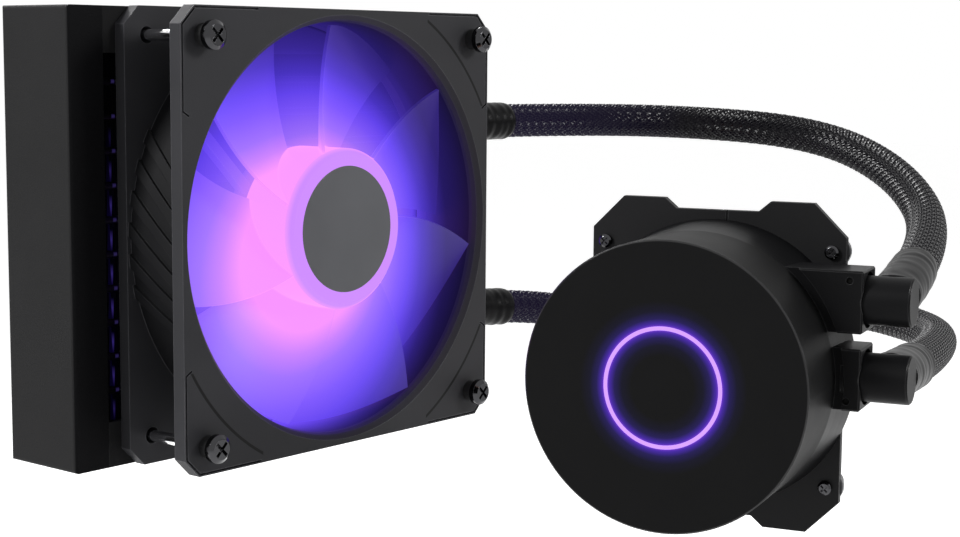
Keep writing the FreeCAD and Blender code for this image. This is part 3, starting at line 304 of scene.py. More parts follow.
wire(glow, (place, "Object", flat, 0), (flat, "Vector", out_by, 0), (split, "Y", behind, 0),
     (behind, 0, aside, "Scale"), (place, "Object", slanted, 0), (aside, "Vector", slanted, 1),
     (slanted, "Vector", level, 0), (level, "Vector", far, 0), (level, "Vector", lean, 0), (far, "Value", reach, 0),
     (lean, "Value", reach, 1), (reach, 0, share, "Value"), (share, "Result", ramp, "Fac"))
print("ramp of", len(ramp.color_ramp.elements), "colours")

# %% Where it ends
within = add(glow, "MapRange", {"To Min": 1.0, "To Max": 0.0})
amount = add(glow, "Math", operation="MULTIPLY")
past = add(glow, "Math", operation="SUBTRACT")
dark_side = add(glow, "MapRange", {"From Max": SOFT_SIDE})
kept = add(glow, "Math", operation="MULTIPLY")
lit_color = add(glow, "Mix", {6: (*BLACK, 1)}, data_type="RGBA")
wire(glow, (out_by, "Value", within, "Value"), (g_in, "Full To", within, "From Min"),
     (g_in, "Gone At", within, "From Max"), (split, "X", past, 0), (g_in, "Dark Left Of", past, 1),
     (past, 0, dark_side, "Value"), (dark_side, "Result", kept, 0), (within, "Result", kept, 1),
     (kept, 0, amount, 0), (g_in, "Strength", amount, 1), (amount, 0, lit_color, "Factor"),
     (ramp, "Color", lit_color, 7), (lit_color, 2, g_out, "Color"))
print("group", glow.name)


# %% [markdown]
# ## Finishes
#
# Each finish is a Principled shader with the grain group before it. Colour and gloss wander a little over the
# surface, as they do in any moulding or coat of paint. On the edges a finish can take a thin clear coat and a
# paler colour, which is a painted highlight.

# %% A finish made with the groups
def finish(name, color, roughness, specular=0.5, metal=0.0, scale=1500.0, depth=0.15, edge=0.0003,
           vary=0.12, edge_gloss_and_highlight=0.0):
    """A material: colour and gloss that wander a little, the grain, rounded edges, and if asked a clear coat and a
    paler colour on them, a painted highlight.
    """
    made = bpy.data.materials.new(name)
    made.use_nodes = True
    tree = made.node_tree
    shader = tree.nodes["Principled BSDF"]
    shader.inputs["Metallic"].default_value = metal
    shader.inputs["Specular IOR Level"].default_value = specular
    shader.inputs["Coat Roughness"].default_value = 0.2
    group = add(tree, "Group", {"Scale": scale, "Depth": depth, "Edge Radius": edge}, name="grain",
                node_tree=grain)
    rough = add(tree, "MapRange",
                {"To Min": max(roughness - vary / 2, 0.02), "To Max": min(roughness + vary / 2, 1.0)})
    tint = add(tree, "Mix", {6: (*[c * 0.85 for c in color], 1), 7: (*[min(c * 1.15, 1) for c in color], 1)},
               name="tint", data_type="RGBA")
    # A paler colour for the edges: a painted highlight.
    edge_highlight = add(tree, "Mix", {"Factor": 0.0, 7: (*[min(c * 6 + 0.03, 1) for c in color], 1)}, name="edge_highlight",
               data_type="RGBA")
    wire(tree, (group, "Normal", shader, "Normal"), (group, "Tone", rough, "Value"),
         (rough, "Result", shader, "Roughness"), (group, "Tone", tint, "Factor"), (tint, 2, edge_highlight, 6),
         (edge_highlight, 2, shader, "Base Color"))
    # On the edges: a clear coat, and the paler colour as a painted highlight.
    if edge_gloss_and_highlight:
        coat = add(tree, "Math", {1: edge_gloss_and_highlight}, operation="MULTIPLY")
        wire(tree, (group, "Edge", coat, 0), (coat, 0, shader, "Coat Weight"), (coat, 0, edge_highlight, "Factor"))
    return made


def dress(material, *names):
    """Gives CAD nodes a material in place of the plain one."""
    for name in names:
        mesh = nodes[name].data
        mesh.materials.clear()
        mesh.materials.append(material)


def add_fan_light(material, strength, full_to, gone_at, dark_left_of=-1.0):
    """The fan's light on a finish, out to a distance from the fan's axis."""
    tree = material.node_tree
    group = add(tree, "Group",
                {"Strength": strength, "Full To": full_to, "Gone At": gone_at, "Dark Left Of": dark_left_of},
                name="fan_light", node_tree=glow)
    shader = tree.nodes["Principled BSDF"]
    wire(tree, (group, "Color", shader, "Emission Color"))
    shader.inputs["Emission Strength"].default_value = 1.0


print("finish, dress and add_fan_light ready")

# %% [markdown]
# ### The radiator and the fan's frame
#
# The radiator is brazed aluminium under a coat of black paint with a fine texture. The fan's frame is black
# moulded plastic, a shade lighter. Inside the ring it takes the light of the rotor, and so do the fins and the
# tubes' ends. On fins and tubes that light fades with the depth, so that the core's back stays dark, and it ends
# short of the right tank.

# %% Radiator and fan finishes
# Some of these finishes get a clear coat and a painted highlight on their edges.
radiator_paint = finish("radiator_paint", (0.016, 0.016, 0.0165), 0.55, specular=0.04, scale=2200, depth=0.35,
                        edge_gloss_and_highlight=0.5)
channel_paint = finish("channel_paint", (0.010, 0.010, 0.0105), 0.55, specular=0.04, scale=2200, depth=0.35)
header_paint = finish("header_paint", (0.003, 0.003, 0.004), 0.6, specular=0.03, scale=2200, depth=0.2)
tube_paint = finish("tube_paint", (0.003, 0.003, 0.004), 0.5, specular=0.03, scale=900, depth=0.1, edge=0.0001)
fin_paint = finish("fin_paint", (0.003, 0.003, 0.004), 0.6, specular=0.03, scale=900, depth=0.1, edge=0.0)
fan_plastic = finish("fan_plastic", (0.024, 0.024, 0.0268), 0.55, specular=0.14, scale=2600, depth=0.12,
                     edge_gloss_and_highlight=0.5)
dress(radiator_paint, "left_tank", "right_tank", "tank_divider")
dress(channel_paint, "top_channel", "bottom_channel")
dress(header_paint, "left_header", "right_header")
dress(tube_paint, "radiator_tubes")
dress(fin_paint, "radiator_fins")
dress(fan_plastic, "fan_frame")
print("radiator and fan finishes", len(bpy.data.materials))

# %% The fan's light on them
FAN_LIGHT = 0.95
LIT_FROM_X = -0.050
CORE_DARK_Y, CORE_LIT_Y = -0.0060, -0.0165
CORE_GONE_X, CORE_LIT_X = 0.0650, 0.0600
add_fan_light(fan_plastic, FAN_LIGHT, full_to=0.0572, gone_at=0.0586)
add_fan_light(channel_paint, FAN_LIGHT, full_to=0.0560, gone_at=0.0575, dark_left_of=LIT_FROM_X)
for paint in (fin_paint, tube_paint):
    add_fan_light(paint, FAN_LIGHT, full_to=0.0640, gone_at=0.0690, dark_left_of=LIT_FROM_X)
    tree = paint.node_tree
    split = xyz(tree)
    depth = add(tree, "MapRange", {"From Min": CORE_DARK_Y, "From Max": CORE_LIT_Y, "To Max": FAN_LIGHT})
    right_end = add(tree, "MapRange", {"From Min": CORE_GONE_X, "From Max": CORE_LIT_X})
    within = add(tree, "Math", operation="MULTIPLY")
    wire(tree, (split, "Y", depth, "Value"), (split, "X", right_end, "Value"), (depth, "Result", within, 0),
         (right_end, "Result", within, 1), (within, 0, tree.nodes["fan_light"], "Strength"))
print("light on the frame, the channels, the fins and the tubes")

# %% [markdown]
# On the real radiator the tanks' front faces lie in the fan's shade and look almost black. A second, duller colour
# stands for that shade here. A helper mixes it into a finish, beyond a place along one direction.


# %% A second colour beyond a place
def other_beyond(material, direction, soft_from, full_to, color, origin=(0, 0, 0)):
    """A second colour in a finish: it begins at soft_from and is full at full_to, measured along a direction."""
    tree = material.node_tree
    shader = tree.nodes["Principled BSDF"]
    where = add(tree, "TexCoord")
    off = add(tree, "VectorMath", {1: origin}, operation="SUBTRACT")
    along = add(tree, "VectorMath", {1: direction}, operation="DOT_PRODUCT")
    beyond = add(tree, "MapRange", {"From Min": soft_from, "From Max": full_to})
    both = add(tree, "Mix", {7: (*color, 1)}, data_type="RGBA")
    wire(tree, (where, "Object", off, 0), (off, "Vector", along, 0), (along, "Value", beyond, "Value"),
         (beyond, "Result", both, "Factor"), (tree.nodes["edge_highlight"], 2, both, 6), (both, 2, shader, "Base Color"))


TANK_FRONT = 0.0268
other_beyond(radiator_paint, (0, -1, 0), TANK_FRONT - 0.0001, TANK_FRONT + 0.0001, (0.0035, 0.0035, 0.004))
print("dull front on", radiator_paint.name)

# %% [markdown]
# The frame's inner wall is brightest at the back, beside the struts, and dark at the front lip. A fine line runs
# round each corner's pad. Its long side is an arc about the fan's axis, drawn here by a dark band in the finish at
# three corners. At the upper left one the real line can't be made out, so it is left away there.

# %% Depth of the light in the frame
LIP_Y, STRUTS_Y = -0.0515, -0.0330
tree = fan_plastic.node_tree
split = xyz(tree)
deeper = add(tree, "MapRange", {"From Min": LIP_Y, "From Max": STRUTS_Y, "To Max": FAN_LIGHT})
wire(tree, (split, "Y", deeper, "Value"), (deeper, "Result", tree.nodes["fan_light"], "Strength"))
print("light from", LIP_Y, "to", STRUTS_Y)

# %% The arcs round the corners' pads
PAD_ARC_R = 0.0662
PAD_LINE = 0.00040
PAD_END = 0.0328
FACE_Y = -0.0519
UPPER_LEFT = -0.05
place = add(tree, "TexCoord")
flat = add(tree, "VectorMath", {1: NO_DEPTH}, operation="MULTIPLY")
far = add(tree, "VectorMath", operation="LENGTH")
on_arc = add(tree, "Math", {1: PAD_ARC_R, 2: PAD_LINE}, operation="COMPARE")
in_front = add(tree, "Math", {1: FACE_Y}, operation="LESS_THAN")
aside = add(tree, "VectorMath", operation="ABSOLUTE")
parts = add(tree, "SeparateXYZ")
least = add(tree, "Math", operation="MINIMUM")
by_corner = add(tree, "Math", {1: PAD_END}, operation="GREATER_THAN")
here = add(tree, "Math", operation="MULTIPLY")
across = add(tree, "Math", operation="SUBTRACT")
not_first = add(tree, "Math", {1: UPPER_LEFT}, operation="GREATER_THAN")
corners = add(tree, "Math", operation="MULTIPLY")
line = add(tree, "Math", operation="MULTIPLY")
lined = add(tree, "Mix", {7: (0.0008, 0.0008, 0.0008, 1)}, data_type="RGBA")
wire(tree, (place, "Object", flat, 0), (flat, "Vector", far, 0), (far, "Value", on_arc, 0),
     (split, "Y", in_front, 0), (place, "Object", aside, 0), (aside, "Vector", parts, 0),
     (parts, "X", least, 0), (parts, "Z", least, 1), (least, 0, by_corner, 0), (split, "X", across, 0),
     (split, "Z", across, 1), (across, 0, not_first, 0), (not_first, 0, corners, 0), (by_corner, 0, corners, 1),
     (corners, 0, here, 0), (in_front, 0, here, 1), (on_arc, 0, line, 0), (here, 0, line, 1),
     (line, 0, lined, "Factor"), (tree.nodes["edge_highlight"], 2, lined, 6))
print("arcs at", PAD_ARC_R)

# %% [markdown]
# Between its two flanges the real fan's barrel lies in deep shade. A duller black stands for that shade here: it
# covers a band of the depth, from behind the front flange to the back one.

# %% Dull barrel between the flanges
BARREL_MID = -0.03945
BARREL_HALF = 0.00865
between = add(tree, "Math", {1: BARREL_MID, 2: BARREL_HALF}, operation="COMPARE")
dull = add(tree, "Mix", {7: (0.0035, 0.0035, 0.0042, 1)}, data_type="RGBA")
wire(tree, (split, "Y", between, 0), (between, 0, dull, "Factor"), (lined, 2, dull, 6),
     (dull, 2, tree.nodes["Principled BSDF"], "Base Color"))
print("dull from", BARREL_MID - BARREL_HALF, "to", BARREL_MID + BARREL_HALF)

# %% [markdown]
# A little of the fan's light leaks out on the left, where its flange ends short of the tank. It draws a thin violet
# line down the fins there, and a dim dot on the end of each tube.

# %% The leak of light beside the tank
leak = bpy.data.node_groups.new("light_leak", "ShaderNodeTree")
socket(leak, "Light", "INPUT", "NodeSocketColor", (0, 0, 0, 1))
socket(leak, "Color", "OUTPUT", "NodeSocketColor")
g_in = leak.nodes.new("NodeGroupInput")
g_out = leak.nodes.new("NodeGroupOutput")
LEAK_FROM, LEAK_TO = -0.0610, -0.0560
LEAK_BELOW = 0.014
LEAK_FULL, LEAK_GONE = 0.020, 0.044
split = xyz(leak)
band = add(leak, "MapRange", {"From Min": LEAK_FROM, "From Max": LEAK_TO})
colors = color_ramp(leak, BLACK, BLACK, (0.20, BLACK), (0.47, (0.002, 0.0006, 0.016)),
                    (0.50, (0.024, 0.014, 0.12)), (0.53, (0.0, 0.0, 0.001)))
height = add(leak, "Math", operation="ABSOLUTE")
lifted = add(leak, "Math", {1: LEAK_BELOW}, operation="ADD")
tall = add(leak, "MapRange", {"From Min": LEAK_FULL, "From Max": LEAK_GONE, "To Min": 1.0, "To Max": 0.0})
scaled = add(leak, "Mix", {6: (*BLACK, 1)}, data_type="RGBA")
total = add(leak, "Mix", {"Factor": 1.0}, data_type="RGBA", blend_type="ADD")
wire(leak, (split, "X", band, "Value"), (band, "Result", colors, "Fac"), (split, "Z", lifted, 0),
     (lifted, 0, height, 0), (height, 0, tall, "Value"), (tall, "Result", scaled, "Factor"),
     (colors, "Color", scaled, 7), (scaled, 2, total, 6), (g_in, "Light", total, 7), (total, 2, g_out, "Color"))
tree = fin_paint.node_tree
group = add(tree, "Group", node_tree=leak)
wire(tree, (tree.nodes["fan_light"], "Color", group, "Light"),
     (group, "Color", tree.nodes["Principled BSDF"], "Emission Color"))
print("group", leak.name)

# %% Dots on the tubes' ends
DOT_X, DOT_HALF = -0.0577, 0.00055
NOSE_Y = -0.0230
tree = tube_paint.node_tree
split = xyz(tree)
dot = add(tree, "Math", {1: DOT_X, 2: DOT_HALF}, operation="COMPARE")
nose = add(tree, "MapRange", {"From Min": NOSE_Y + 0.0001, "From Max": NOSE_Y - 0.0001})
spot = add(tree, "Math", operation="MULTIPLY")
total = add(tree, "Mix", {7: (0.016, 0.011, 0.058, 1)}, data_type="RGBA")
wire(tree, (split, "X", dot, 0), (split, "Y", nose, "Value"), (dot, 0, spot, 0), (nose, "Result", spot, 1),
     (spot, 0, total, "Factor"), (tree.nodes["fan_light"], "Color", total, 6),
     (total, 2, tree.nodes["Principled BSDF"], "Emission Color"))
print("dots at", DOT_X)

# %% [markdown]
# ### The pump's black finishes
#
# The cap is deep black with hardly any gloss. The body behind it, the elbows and the blocks they turn in are a
# little glossier, and the steel bracket is painted. The screws are blackened steel. The elbows' end discs look
# darker than their barrels on the real pump, so a second, darker black is painted there as shade.

# %% Pump finishes
# Some of these finishes get a clear coat and a painted highlight on their edges.
cap_plastic = finish("cap_plastic", (0.0048, 0.0048, 0.0050), 0.5, specular=0.05, scale=3000, depth=0.08,
                     edge=0.0003)
body_plastic = finish("body_plastic", (0.0042, 0.0042, 0.0046), 0.36, specular=0.07, scale=2600, depth=0.12,
                      edge_gloss_and_highlight=0.5)
elbow_plastic = finish("elbow_plastic", (0.0060, 0.0060, 0.0065), 0.42, specular=0.05, scale=2600, depth=0.08,
                       edge_gloss_and_highlight=0.4)
bracket_paint = finish("bracket_paint", (0.0095, 0.0095, 0.0100), 0.45, specular=0.10, scale=1400, depth=0.12,
                       edge_gloss_and_highlight=0.8)
screw_black = finish("screw_black", (0.055, 0.055, 0.058), 0.14, metal=1.0, scale=900, depth=0.03,
                     edge=0.0002, vary=0.06)
pin_black = finish("pin_black", (0.003, 0.003, 0.003), 0.6, specular=0.05, scale=900, depth=0.03)
fitting_metal = finish("fitting_metal", (0.03, 0.03, 0.032), 0.35, metal=0.7, scale=900, depth=0.05)
washer_rubber = finish("washer_rubber", (0.006, 0.006, 0.0065), 0.75, specular=0.2, scale=2200, depth=0.2)
seal_rubber = finish("seal_rubber", (0.01, 0.01, 0.01), 0.7, specular=0.3)
dress(cap_plastic, "pump_cap")
dress(body_plastic, "pump_body", "base_frame")
dress(elbow_plastic, "upper_elbow", "lower_elbow")
pump_side = Matrix.Rotation(PUMP_TURN, 3, "Z") @ Vector((1, 0, 0))
DISC_FROM, DISC_FULL = 0.0531, 0.0534
# Painted shade: a darker black on the elbows' end discs.
other_beyond(elbow_plastic, pump_side, DISC_FROM, DISC_FULL, (0.0022, 0.0022, 0.0026), PUMP_PLACE)
dress(bracket_paint, "bracket_left", "bracket_right")
dress(screw_black, "bracket_screws", "fill_screw")
dress(pin_black, "upper_elbow_pin", "lower_elbow_pin")
dress(fitting_metal, "upper_radiator_fitting", "lower_radiator_fitting")
dress(washer_rubber, "fan_washers")
dress(seal_rubber, "base_gasket", "upper_elbow_seal", "lower_elbow_seal")
print("pump finishes", len(bpy.data.materials))

# %% [markdown]
# ### Metals, ceramic and boards
#
# The pieces that show only when the cooler is taken apart get their own finishes too: enamelled copper windings,
# sintered magnets, a milled copper plate and green boards.

# %% Metals, ceramic and boards
shaft_steel = finish("shaft_steel", (0.62, 0.62, 0.64), 0.25, metal=1.0, scale=700, depth=0.03)
standoff_steel = finish("standoff_steel", (0.12, 0.12, 0.125), 0.3, metal=1.0, scale=700, depth=0.04)
magnet_iron = finish("magnet_iron", (0.10, 0.10, 0.11), 0.5, metal=0.6, scale=900, depth=0.2)
stator_iron = finish("stator_iron", (0.3, 0.3, 0.31), 0.4, metal=1.0, scale=900, depth=0.1)
winding_copper = finish("winding_copper", (0.65, 0.27, 0.10), 0.3, metal=1.0, scale=900, depth=0.2)
bearing_brass = finish("bearing_brass", (0.72, 0.52, 0.24), 0.35, metal=1.0, scale=900, depth=0.1)
milled_copper = finish("milled_copper", (0.78, 0.36, 0.20), 0.24, metal=1.0, scale=500, depth=0.05)
board_green = finish("board_green", (0.012, 0.07, 0.035), 0.4, scale=900, depth=0.08)
lamp_lens = finish("lamp_lens", (0.8, 0.8, 0.74), 0.2, scale=900, depth=0.02)
impeller_plastic = finish("impeller_plastic", (0.6, 0.6, 0.57), 0.45, scale=2200, depth=0.1)
ceramic = finish("ceramic", (0.82, 0.82, 0.79), 0.15, scale=900, depth=0.02)
label_film = finish("label_film", (0.075, 0.077, 0.085), 0.32, specular=0.5, scale=2200, depth=0.03)
dress(shaft_steel, "fan_shaft", "base_screws")
dress(standoff_steel, "bracket_standoffs")
dress(magnet_iron, "fan_magnet", "pump_magnet")
dress(stator_iron, "pump_stator")
dress(winding_copper, "fan_stator", "pump_coils")
dress(bearing_brass, "fan_bearing")
dress(milled_copper, "cold_plate")
dress(board_green, "fan_board", "light_board", "pump_board")
dress(lamp_lens, "fan_leds", "ring_leds")
dress(impeller_plastic, "impeller", "volute_plate")
dress(ceramic, "pump_shaft")
dress(label_film, "hub_label")
print("all finishes", len(bpy.data.materials))

# %% [markdown]
# The fan's four screws are bright zinc along their shanks, which show between the two flanges, and only their
# heads are blackened. They are one node, so the material changes from one to the other by the place along Y.

# %% Screws with black heads
HEAD_Y, SHANK_Y = -0.0520, -0.0500
two_tone = finish("fan_screw_steel", (0.050, 0.050, 0.053), 0.12, metal=1.0, scale=900, depth=0.03, edge=0.0002,
                  vary=0.06)
tree = two_tone.node_tree
split = xyz(tree)
behind = add(tree, "MapRange", {"From Min": HEAD_Y, "From Max": SHANK_Y})
both = add(tree, "Mix", {7: (0.78, 0.78, 0.80, 1)}, data_type="RGBA")
wire(tree, (split, "Y", behind, "Value"), (behind, "Result", both, "Factor"), (tree.nodes["edge_highlight"], 2, both, 6),
     (both, 2, tree.nodes["Principled BSDF"], "Base Color"))
dress(two_tone, "fan_screws")

# %% [markdown]
# ## The lit rotor
#
# The rotor is moulded in milky plastic, and lamps on the motor's board shine into its hub, so the whole moulding
# glows. Its colour comes from the fan's light group. The hub's side glows pink, and its flat face is a shade more
# violet.

# %% Lit plastic
lit = bpy.data.materials.new("blade_plastic")
lit.use_nodes = True
tree = lit.node_tree
shader = tree.nodes["Principled BSDF"]
shader.inputs["Roughness"].default_value = 0.4
shader.inputs["Specular IOR Level"].default_value = 0.2
shader.inputs["Base Color"].default_value = (0.02, 0.012, 0.05, 1)
add_fan_light(lit, 0.97, full_to=0.070, gone_at=0.080)
print("blades lit like", glow.name)

# %% The hub's side and face
HUB_R = 0.0223
HUB_SIDE_Y, HUB_FACE_Y = -0.0498, -0.0512
split = xyz(tree)
front = add(tree, "MapRange", {"From Min": HUB_SIDE_Y, "From Max": HUB_FACE_Y})
on_face = add(tree, "Mix", {7: (0.60, 0.25, 0.98, 1)}, data_type="RGBA")
place = add(tree, "TexCoord")
flat = add(tree, "VectorMath", {1: NO_DEPTH}, operation="MULTIPLY")
from_axis = add(tree, "VectorMath", operation="LENGTH")
on_hub = add(tree, "MapRange", {"From Min": HUB_R + 0.0006, "From Max": HUB_R + 0.0001})
hub_pink = add(tree, "Mix", {7: (0.95, 0.32, 0.99, 1)}, data_type="RGBA")
wire(tree, (place, "Object", flat, 0), (flat, "Vector", from_axis, 0), (from_axis, "Value", on_hub, "Value"),
     (on_hub, "Result", hub_pink, "Factor"), (tree.nodes["fan_light"], "Color", hub_pink, 6),
     (split, "Y", front, "Value"), (front, "Result", on_face, "Factor"), (hub_pink, 2, on_face, 6),
     (on_face, 2, shader, "Emission Color"))
dress(lit, "fan_rotor")

# %% [markdown]
# ## The lit line in the pump's face
#
# A thin ring of milky plastic, lit from behind, lies level with the black cap. The line itself looks pale lilac,
# because it is bright, and round it the cap takes a blue-violet shine that fades within a few millimetres. The
# shine is worked out from the distance to the line: first the distance from the pump's axis, then from the ring.

# %% Light guide
LINE_R = 0.0145
guide = bpy.data.materials.new("light_guide")
guide.use_nodes = True
shader = guide.node_tree.nodes["Principled BSDF"]
shader.inputs["Base Color"].default_value = (0.10, 0.06, 0.16, 1)
shader.inputs["Roughness"].default_value = 0.3
shader.inputs["Emission Color"].default_value = (0.56, 0.27, 0.98, 1)
shader.inputs["Emission Strength"].default_value = 1.0
dress(guide, "light_ring")
print("light guide ready")


# %% Its shine on the cap
def distance_nodes(tree, from_place, axis, ring):
    """Nodes for the distance from a circle of a radius round an axis. Returns the last one."""
    where = add(tree, "TexCoord")
    off = add(tree, "VectorMath", {1: from_place}, operation="SUBTRACT")
    across = add(tree, "VectorMath", {1: axis}, operation="CROSS_PRODUCT")
    size = add(tree, "VectorMath", operation="LENGTH")
    less = add(tree, "Math", {1: ring}, operation="SUBTRACT")
    positive = add(tree, "Math", operation="ABSOLUTE")
    wire(tree, (where, "Object", off, 0), (off, "Vector", across, 0), (across, "Vector", size, 0),
         (size, "Value", less, 0), (less, 0, positive, 0))
    return positive


SHINE_FROM, SHINE_TO = 0.0004, 0.0066
tree = cap_plastic.node_tree
shader = tree.nodes["Principled BSDF"]
away = distance_nodes(tree, PUMP_PLACE, pump_axis, LINE_R)
fade = add(tree, "MapRange", {"From Min": SHINE_FROM, "From Max": SHINE_TO})
shine = color_ramp(tree, (0.16, 0.035, 0.62), BLACK, (0.10, (0.055, 0.016, 0.36)), (0.30, (0.012, 0.006, 0.085)),
                   (0.60, (0.002, 0.0015, 0.014)))
wire(tree, (away, 0, fade, "Value"), (fade, "Result", shine, "Fac"), (shine, "Color", shader, "Emission Color"))
shader.inputs["Emission Strength"].default_value = 1.0
print("shine round the line of", LINE_R)

# %% [markdown]
# The cap's front edge is cut off at a small slant, which catches the light: it is the one bright line on the pump.
# That bright line is painted there as a paler colour, a painted highlight, with a little clear coat. Its place is
# again the distance from a circle, this time the cap's own edge.

# %% The cap's bright edge
CAP_R = 0.0359
EDGE_GONE, EDGE_FULL = 0.00050, 0.00030
EDGE_DEPTH = 0.0005
EDGE_COAT = 0.4
near_edge = distance_nodes(tree, PUMP_PLACE, pump_axis, CAP_R)
rim = add(tree, "MapRange", {"From Min": EDGE_GONE, "From Max": EDGE_FULL})
where = add(tree, "TexCoord")
off = add(tree, "VectorMath", {1: PUMP_PLACE}, operation="SUBTRACT")
back = add(tree, "VectorMath", {1: pump_axis}, operation="DOT_PRODUCT")
front = add(tree, "Math", {1: EDGE_DEPTH}, operation="LESS_THAN")
both = add(tree, "Math", operation="MULTIPLY")
# A paler colour on the cap's edge: a painted highlight.
cap_edge_highlight = add(tree, "Mix", {7: (0.016, 0.016, 0.0165, 1)}, data_type="RGBA")
polish = add(tree, "Math", {1: EDGE_COAT}, operation="MULTIPLY")
wire(tree, (near_edge, 0, rim, "Value"), (where, "Object", off, 0), (off, "Vector", back, 0),
     (back, "Value", front, 0), (rim, "Result", both, 0), (front, 0, both, 1), (both, 0, cap_edge_highlight, "Factor"),
     (tree.nodes["edge_highlight"], 2, cap_edge_highlight, 6), (cap_edge_highlight, 2, shader, "Base Color"), (both, 0, polish, 0),
     (polish, 0, shader, "Coat Weight"))
print("rim at", CAP_R)

# %% [markdown]
# ## The folded fins
#
# Between the flat tubes lie strips of thin metal, finely folded to and fro. The CAD model has them coarse and
# thick, as a stand-in. Here one strip is a flat grid, whose rows are moved into folds with flat tops, and Solidify
# gives it its thickness.

# %% One strip of fins
LOW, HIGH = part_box("radiator_fins")
TUBE_STEP, TUBE_HALF = 0.009, 0.001
TUBES = [(k - 5.5) * TUBE_STEP for k in range(12)]
FOLD = 0.0016
FIN_SHEET = 0.00012
INSET = 0.0002
gaps = list(zip([LOW.z] + [z + TUBE_HALF for z in TUBES], [z - TUBE_HALF for z in TUBES] + [HIGH.z]))


def fin_strip(name, low, high):
    """A folded strip between two heights."""
    steps = int((HIGH.x - LOW.x) / FOLD) * 4
    bpy.ops.object.select_all(action="DESELECT")
    bpy.ops.mesh.primitive_grid_add(x_subdivisions=steps, y_subdivisions=1, size=1)
    strip = bpy.context.object
    strip.name = name
    for v in strip.data.vertices:
        step = round((v.co.x + 0.5) * steps)
        v.co.y = LOW.y + INSET if v.co.y < 0 else HIGH.y - INSET
        v.co.x = LOW.x + INSET + (HIGH.x - LOW.x - 2 * INSET) * step / steps
        v.co.z = low if step % 4 in (0, 1) else high
    return strip


strips = [fin_strip("folded_fins_%d" % k, low + FIN_SHEET / 2, high - FIN_SHEET / 2)
          for k, (low, high) in enumerate(gaps)]
print("strips", len(strips), "folds", int((HIGH.x - LOW.x) / FOLD))

# %% All strips as one piece
bpy.ops.object.select_all(action="DESELECT")
for strip in strips:
    strip.select_set(True)
bpy.context.view_layer.objects.active = strips[0]
bpy.ops.object.join()
fins = bpy.context.object
fins.name = "folded_fins"
thick = fins.modifiers.new("sheet", "SOLIDIFY")
thick.thickness = FIN_SHEET
thick.offset = 0
bpy.ops.object.modifier_apply(modifier="sheet")
fins.data.materials.append(fin_paint)
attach(fins, "cooler")
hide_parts("radiator_fins")
print("fins", len(fins.data.polygons), "faces")

# %% [markdown]
# ## The hoses' routes
#
# Each hose leaves the radiator's end straight, comes round in one wide turn and runs into an elbow on the pump.
# Its line is a NURBS curve with the CAD route's points as control points, which bends as a hose does, with no
# sudden change. Everything on a hose follows points read from that one curve.


# %% Routes
def route_curve(name, points):
    """A smooth curve through the air, from the radiator to the pump."""
    data = bpy.data.curves.new(name, "CURVE")
    data.dimensions = "3D"
    data.resolution_u = 40
    spline = data.splines.new("NURBS")
    spline.points.add(len(points) - 1)
    for point, place in zip(spline.points, points):
        point.co = (*[v / 1000 for v in place], 1.0)
    spline.order_u = 3
    spline.use_endpoint_u = True
    made = bpy.data.objects.new(name, data)
    bpy.context.collection.objects.link(made)
    return made


def read_line(curve):
    """The curve's own points, then the curve itself is taken away."""
    mesh = bpy.data.meshes.new_from_object(curve)
    line = [v.co.copy() for v in mesh.vertices]
    bpy.data.meshes.remove(mesh)
    bpy.data.objects.remove(curve)
    return line


UPPER_ROUTE = [(86.0, -13.6, 26.1), (131.9, -13.6, 26.1), (172.0, -47.6, 25.7), (175.9, -100.1, 23.0),
               (149.7, -143.7, 12.5), (103.92, -178.16, -2.52), (48.39, -193.17, -9.89)]
LOWER_ROUTE = [(86.0, -13.6, -35.6), (120.4, -13.6, -35.6), (171.0, -41.3, -47.3), (188.0, -101.1, -35.6),
               (149.4, -158.1, -34.4), (99.89, -179.25, -33.64), (48.43, -193.16, -30.47)]
lines = {name: read_line(route_curve(name + "_route", points)) for name, points in
         (("upper", UPPER_ROUTE), ("lower", LOWER_ROUTE))}


def length_of(line):
    """Length of a line of points."""
    return sum((b - a).length for a, b in zip(line, line[1:]))


for name, line in lines.items():
    print(name, "points", len(line), "length", round(length_of(line), 4))

# %% [markdown]
# A tube along a line needs a direction for its seam that doesn't twist as the line bends. Here each step carries
# the last one's direction over with the smallest turn, which is what a hose does when it is bent and not wrung.


# %% Frames along a line
def evenly(line, start, end, count):
    """Points at equal steps between two lengths along a line."""
    wanted = [start + (end - start) * k / (count - 1) for k in range(count)]
    passed, k, made = 0.0, 0, []
    for distance in wanted:
        while k < len(line) - 2 and passed + (line[k + 1] - line[k]).length < distance:
            passed += (line[k + 1] - line[k]).length
            k += 1
        step = line[k + 1] - line[k]
        made.append(line[k] + step * ((distance - passed) / step.length))
    return made


def frames(points):
    """(point, way, side, up) at each point, with no twist from one to the next."""
    side = Vector((0, 0, 1))
    made = []
    for k, point in enumerate(points):
        way = (points[min(k + 1, len(points) - 1)] - points[max(k - 1, 0)]).normalized()
        side = (side - way * side.dot(way)).normalized()
        made.append((point, way, side, way.cross(side)))
    return made


print("frames ready")

# %% [markdown]
# ## Braided hoses
#
# The sleeve on such a hose is woven from flat black strands that wind both ways round it, each over one and under
# the next. Every strand here is real: a thin ribbon with a closed section that rises and dips at each crossing.
# Under them lies a plain dark tube, so that nothing shines through the gaps.


# %% Braid
STRANDS = 24
HOSE_R = 0.0055
CORE_R = HOSE_R - 0.0005
RIBBON = 0.00048
RIBBON_CROWN = 0.00022
OVER, UNDER = 0.00012, -0.00014
OPENNESS = 1.25


def tube_mesh(made, along, radius, sides):
    """A closed round bar along a line of frames, added to a mesh in the making."""
    rings = []
    for point, way, side, up in along:
        turn = [2 * math.pi * k / sides for k in range(sides)]
        rings.append([made.verts.new(point + (side * math.cos(a) + up * math.sin(a)) * radius) for a in turn])
    for a, b in zip(rings, rings[1:]):
        for k in range(sides):
            made.faces.new((a[k], b[k], b[k - 1], a[k - 1]))
    made.faces.new(rings[0])
    made.faces.new(list(reversed(rings[-1])))


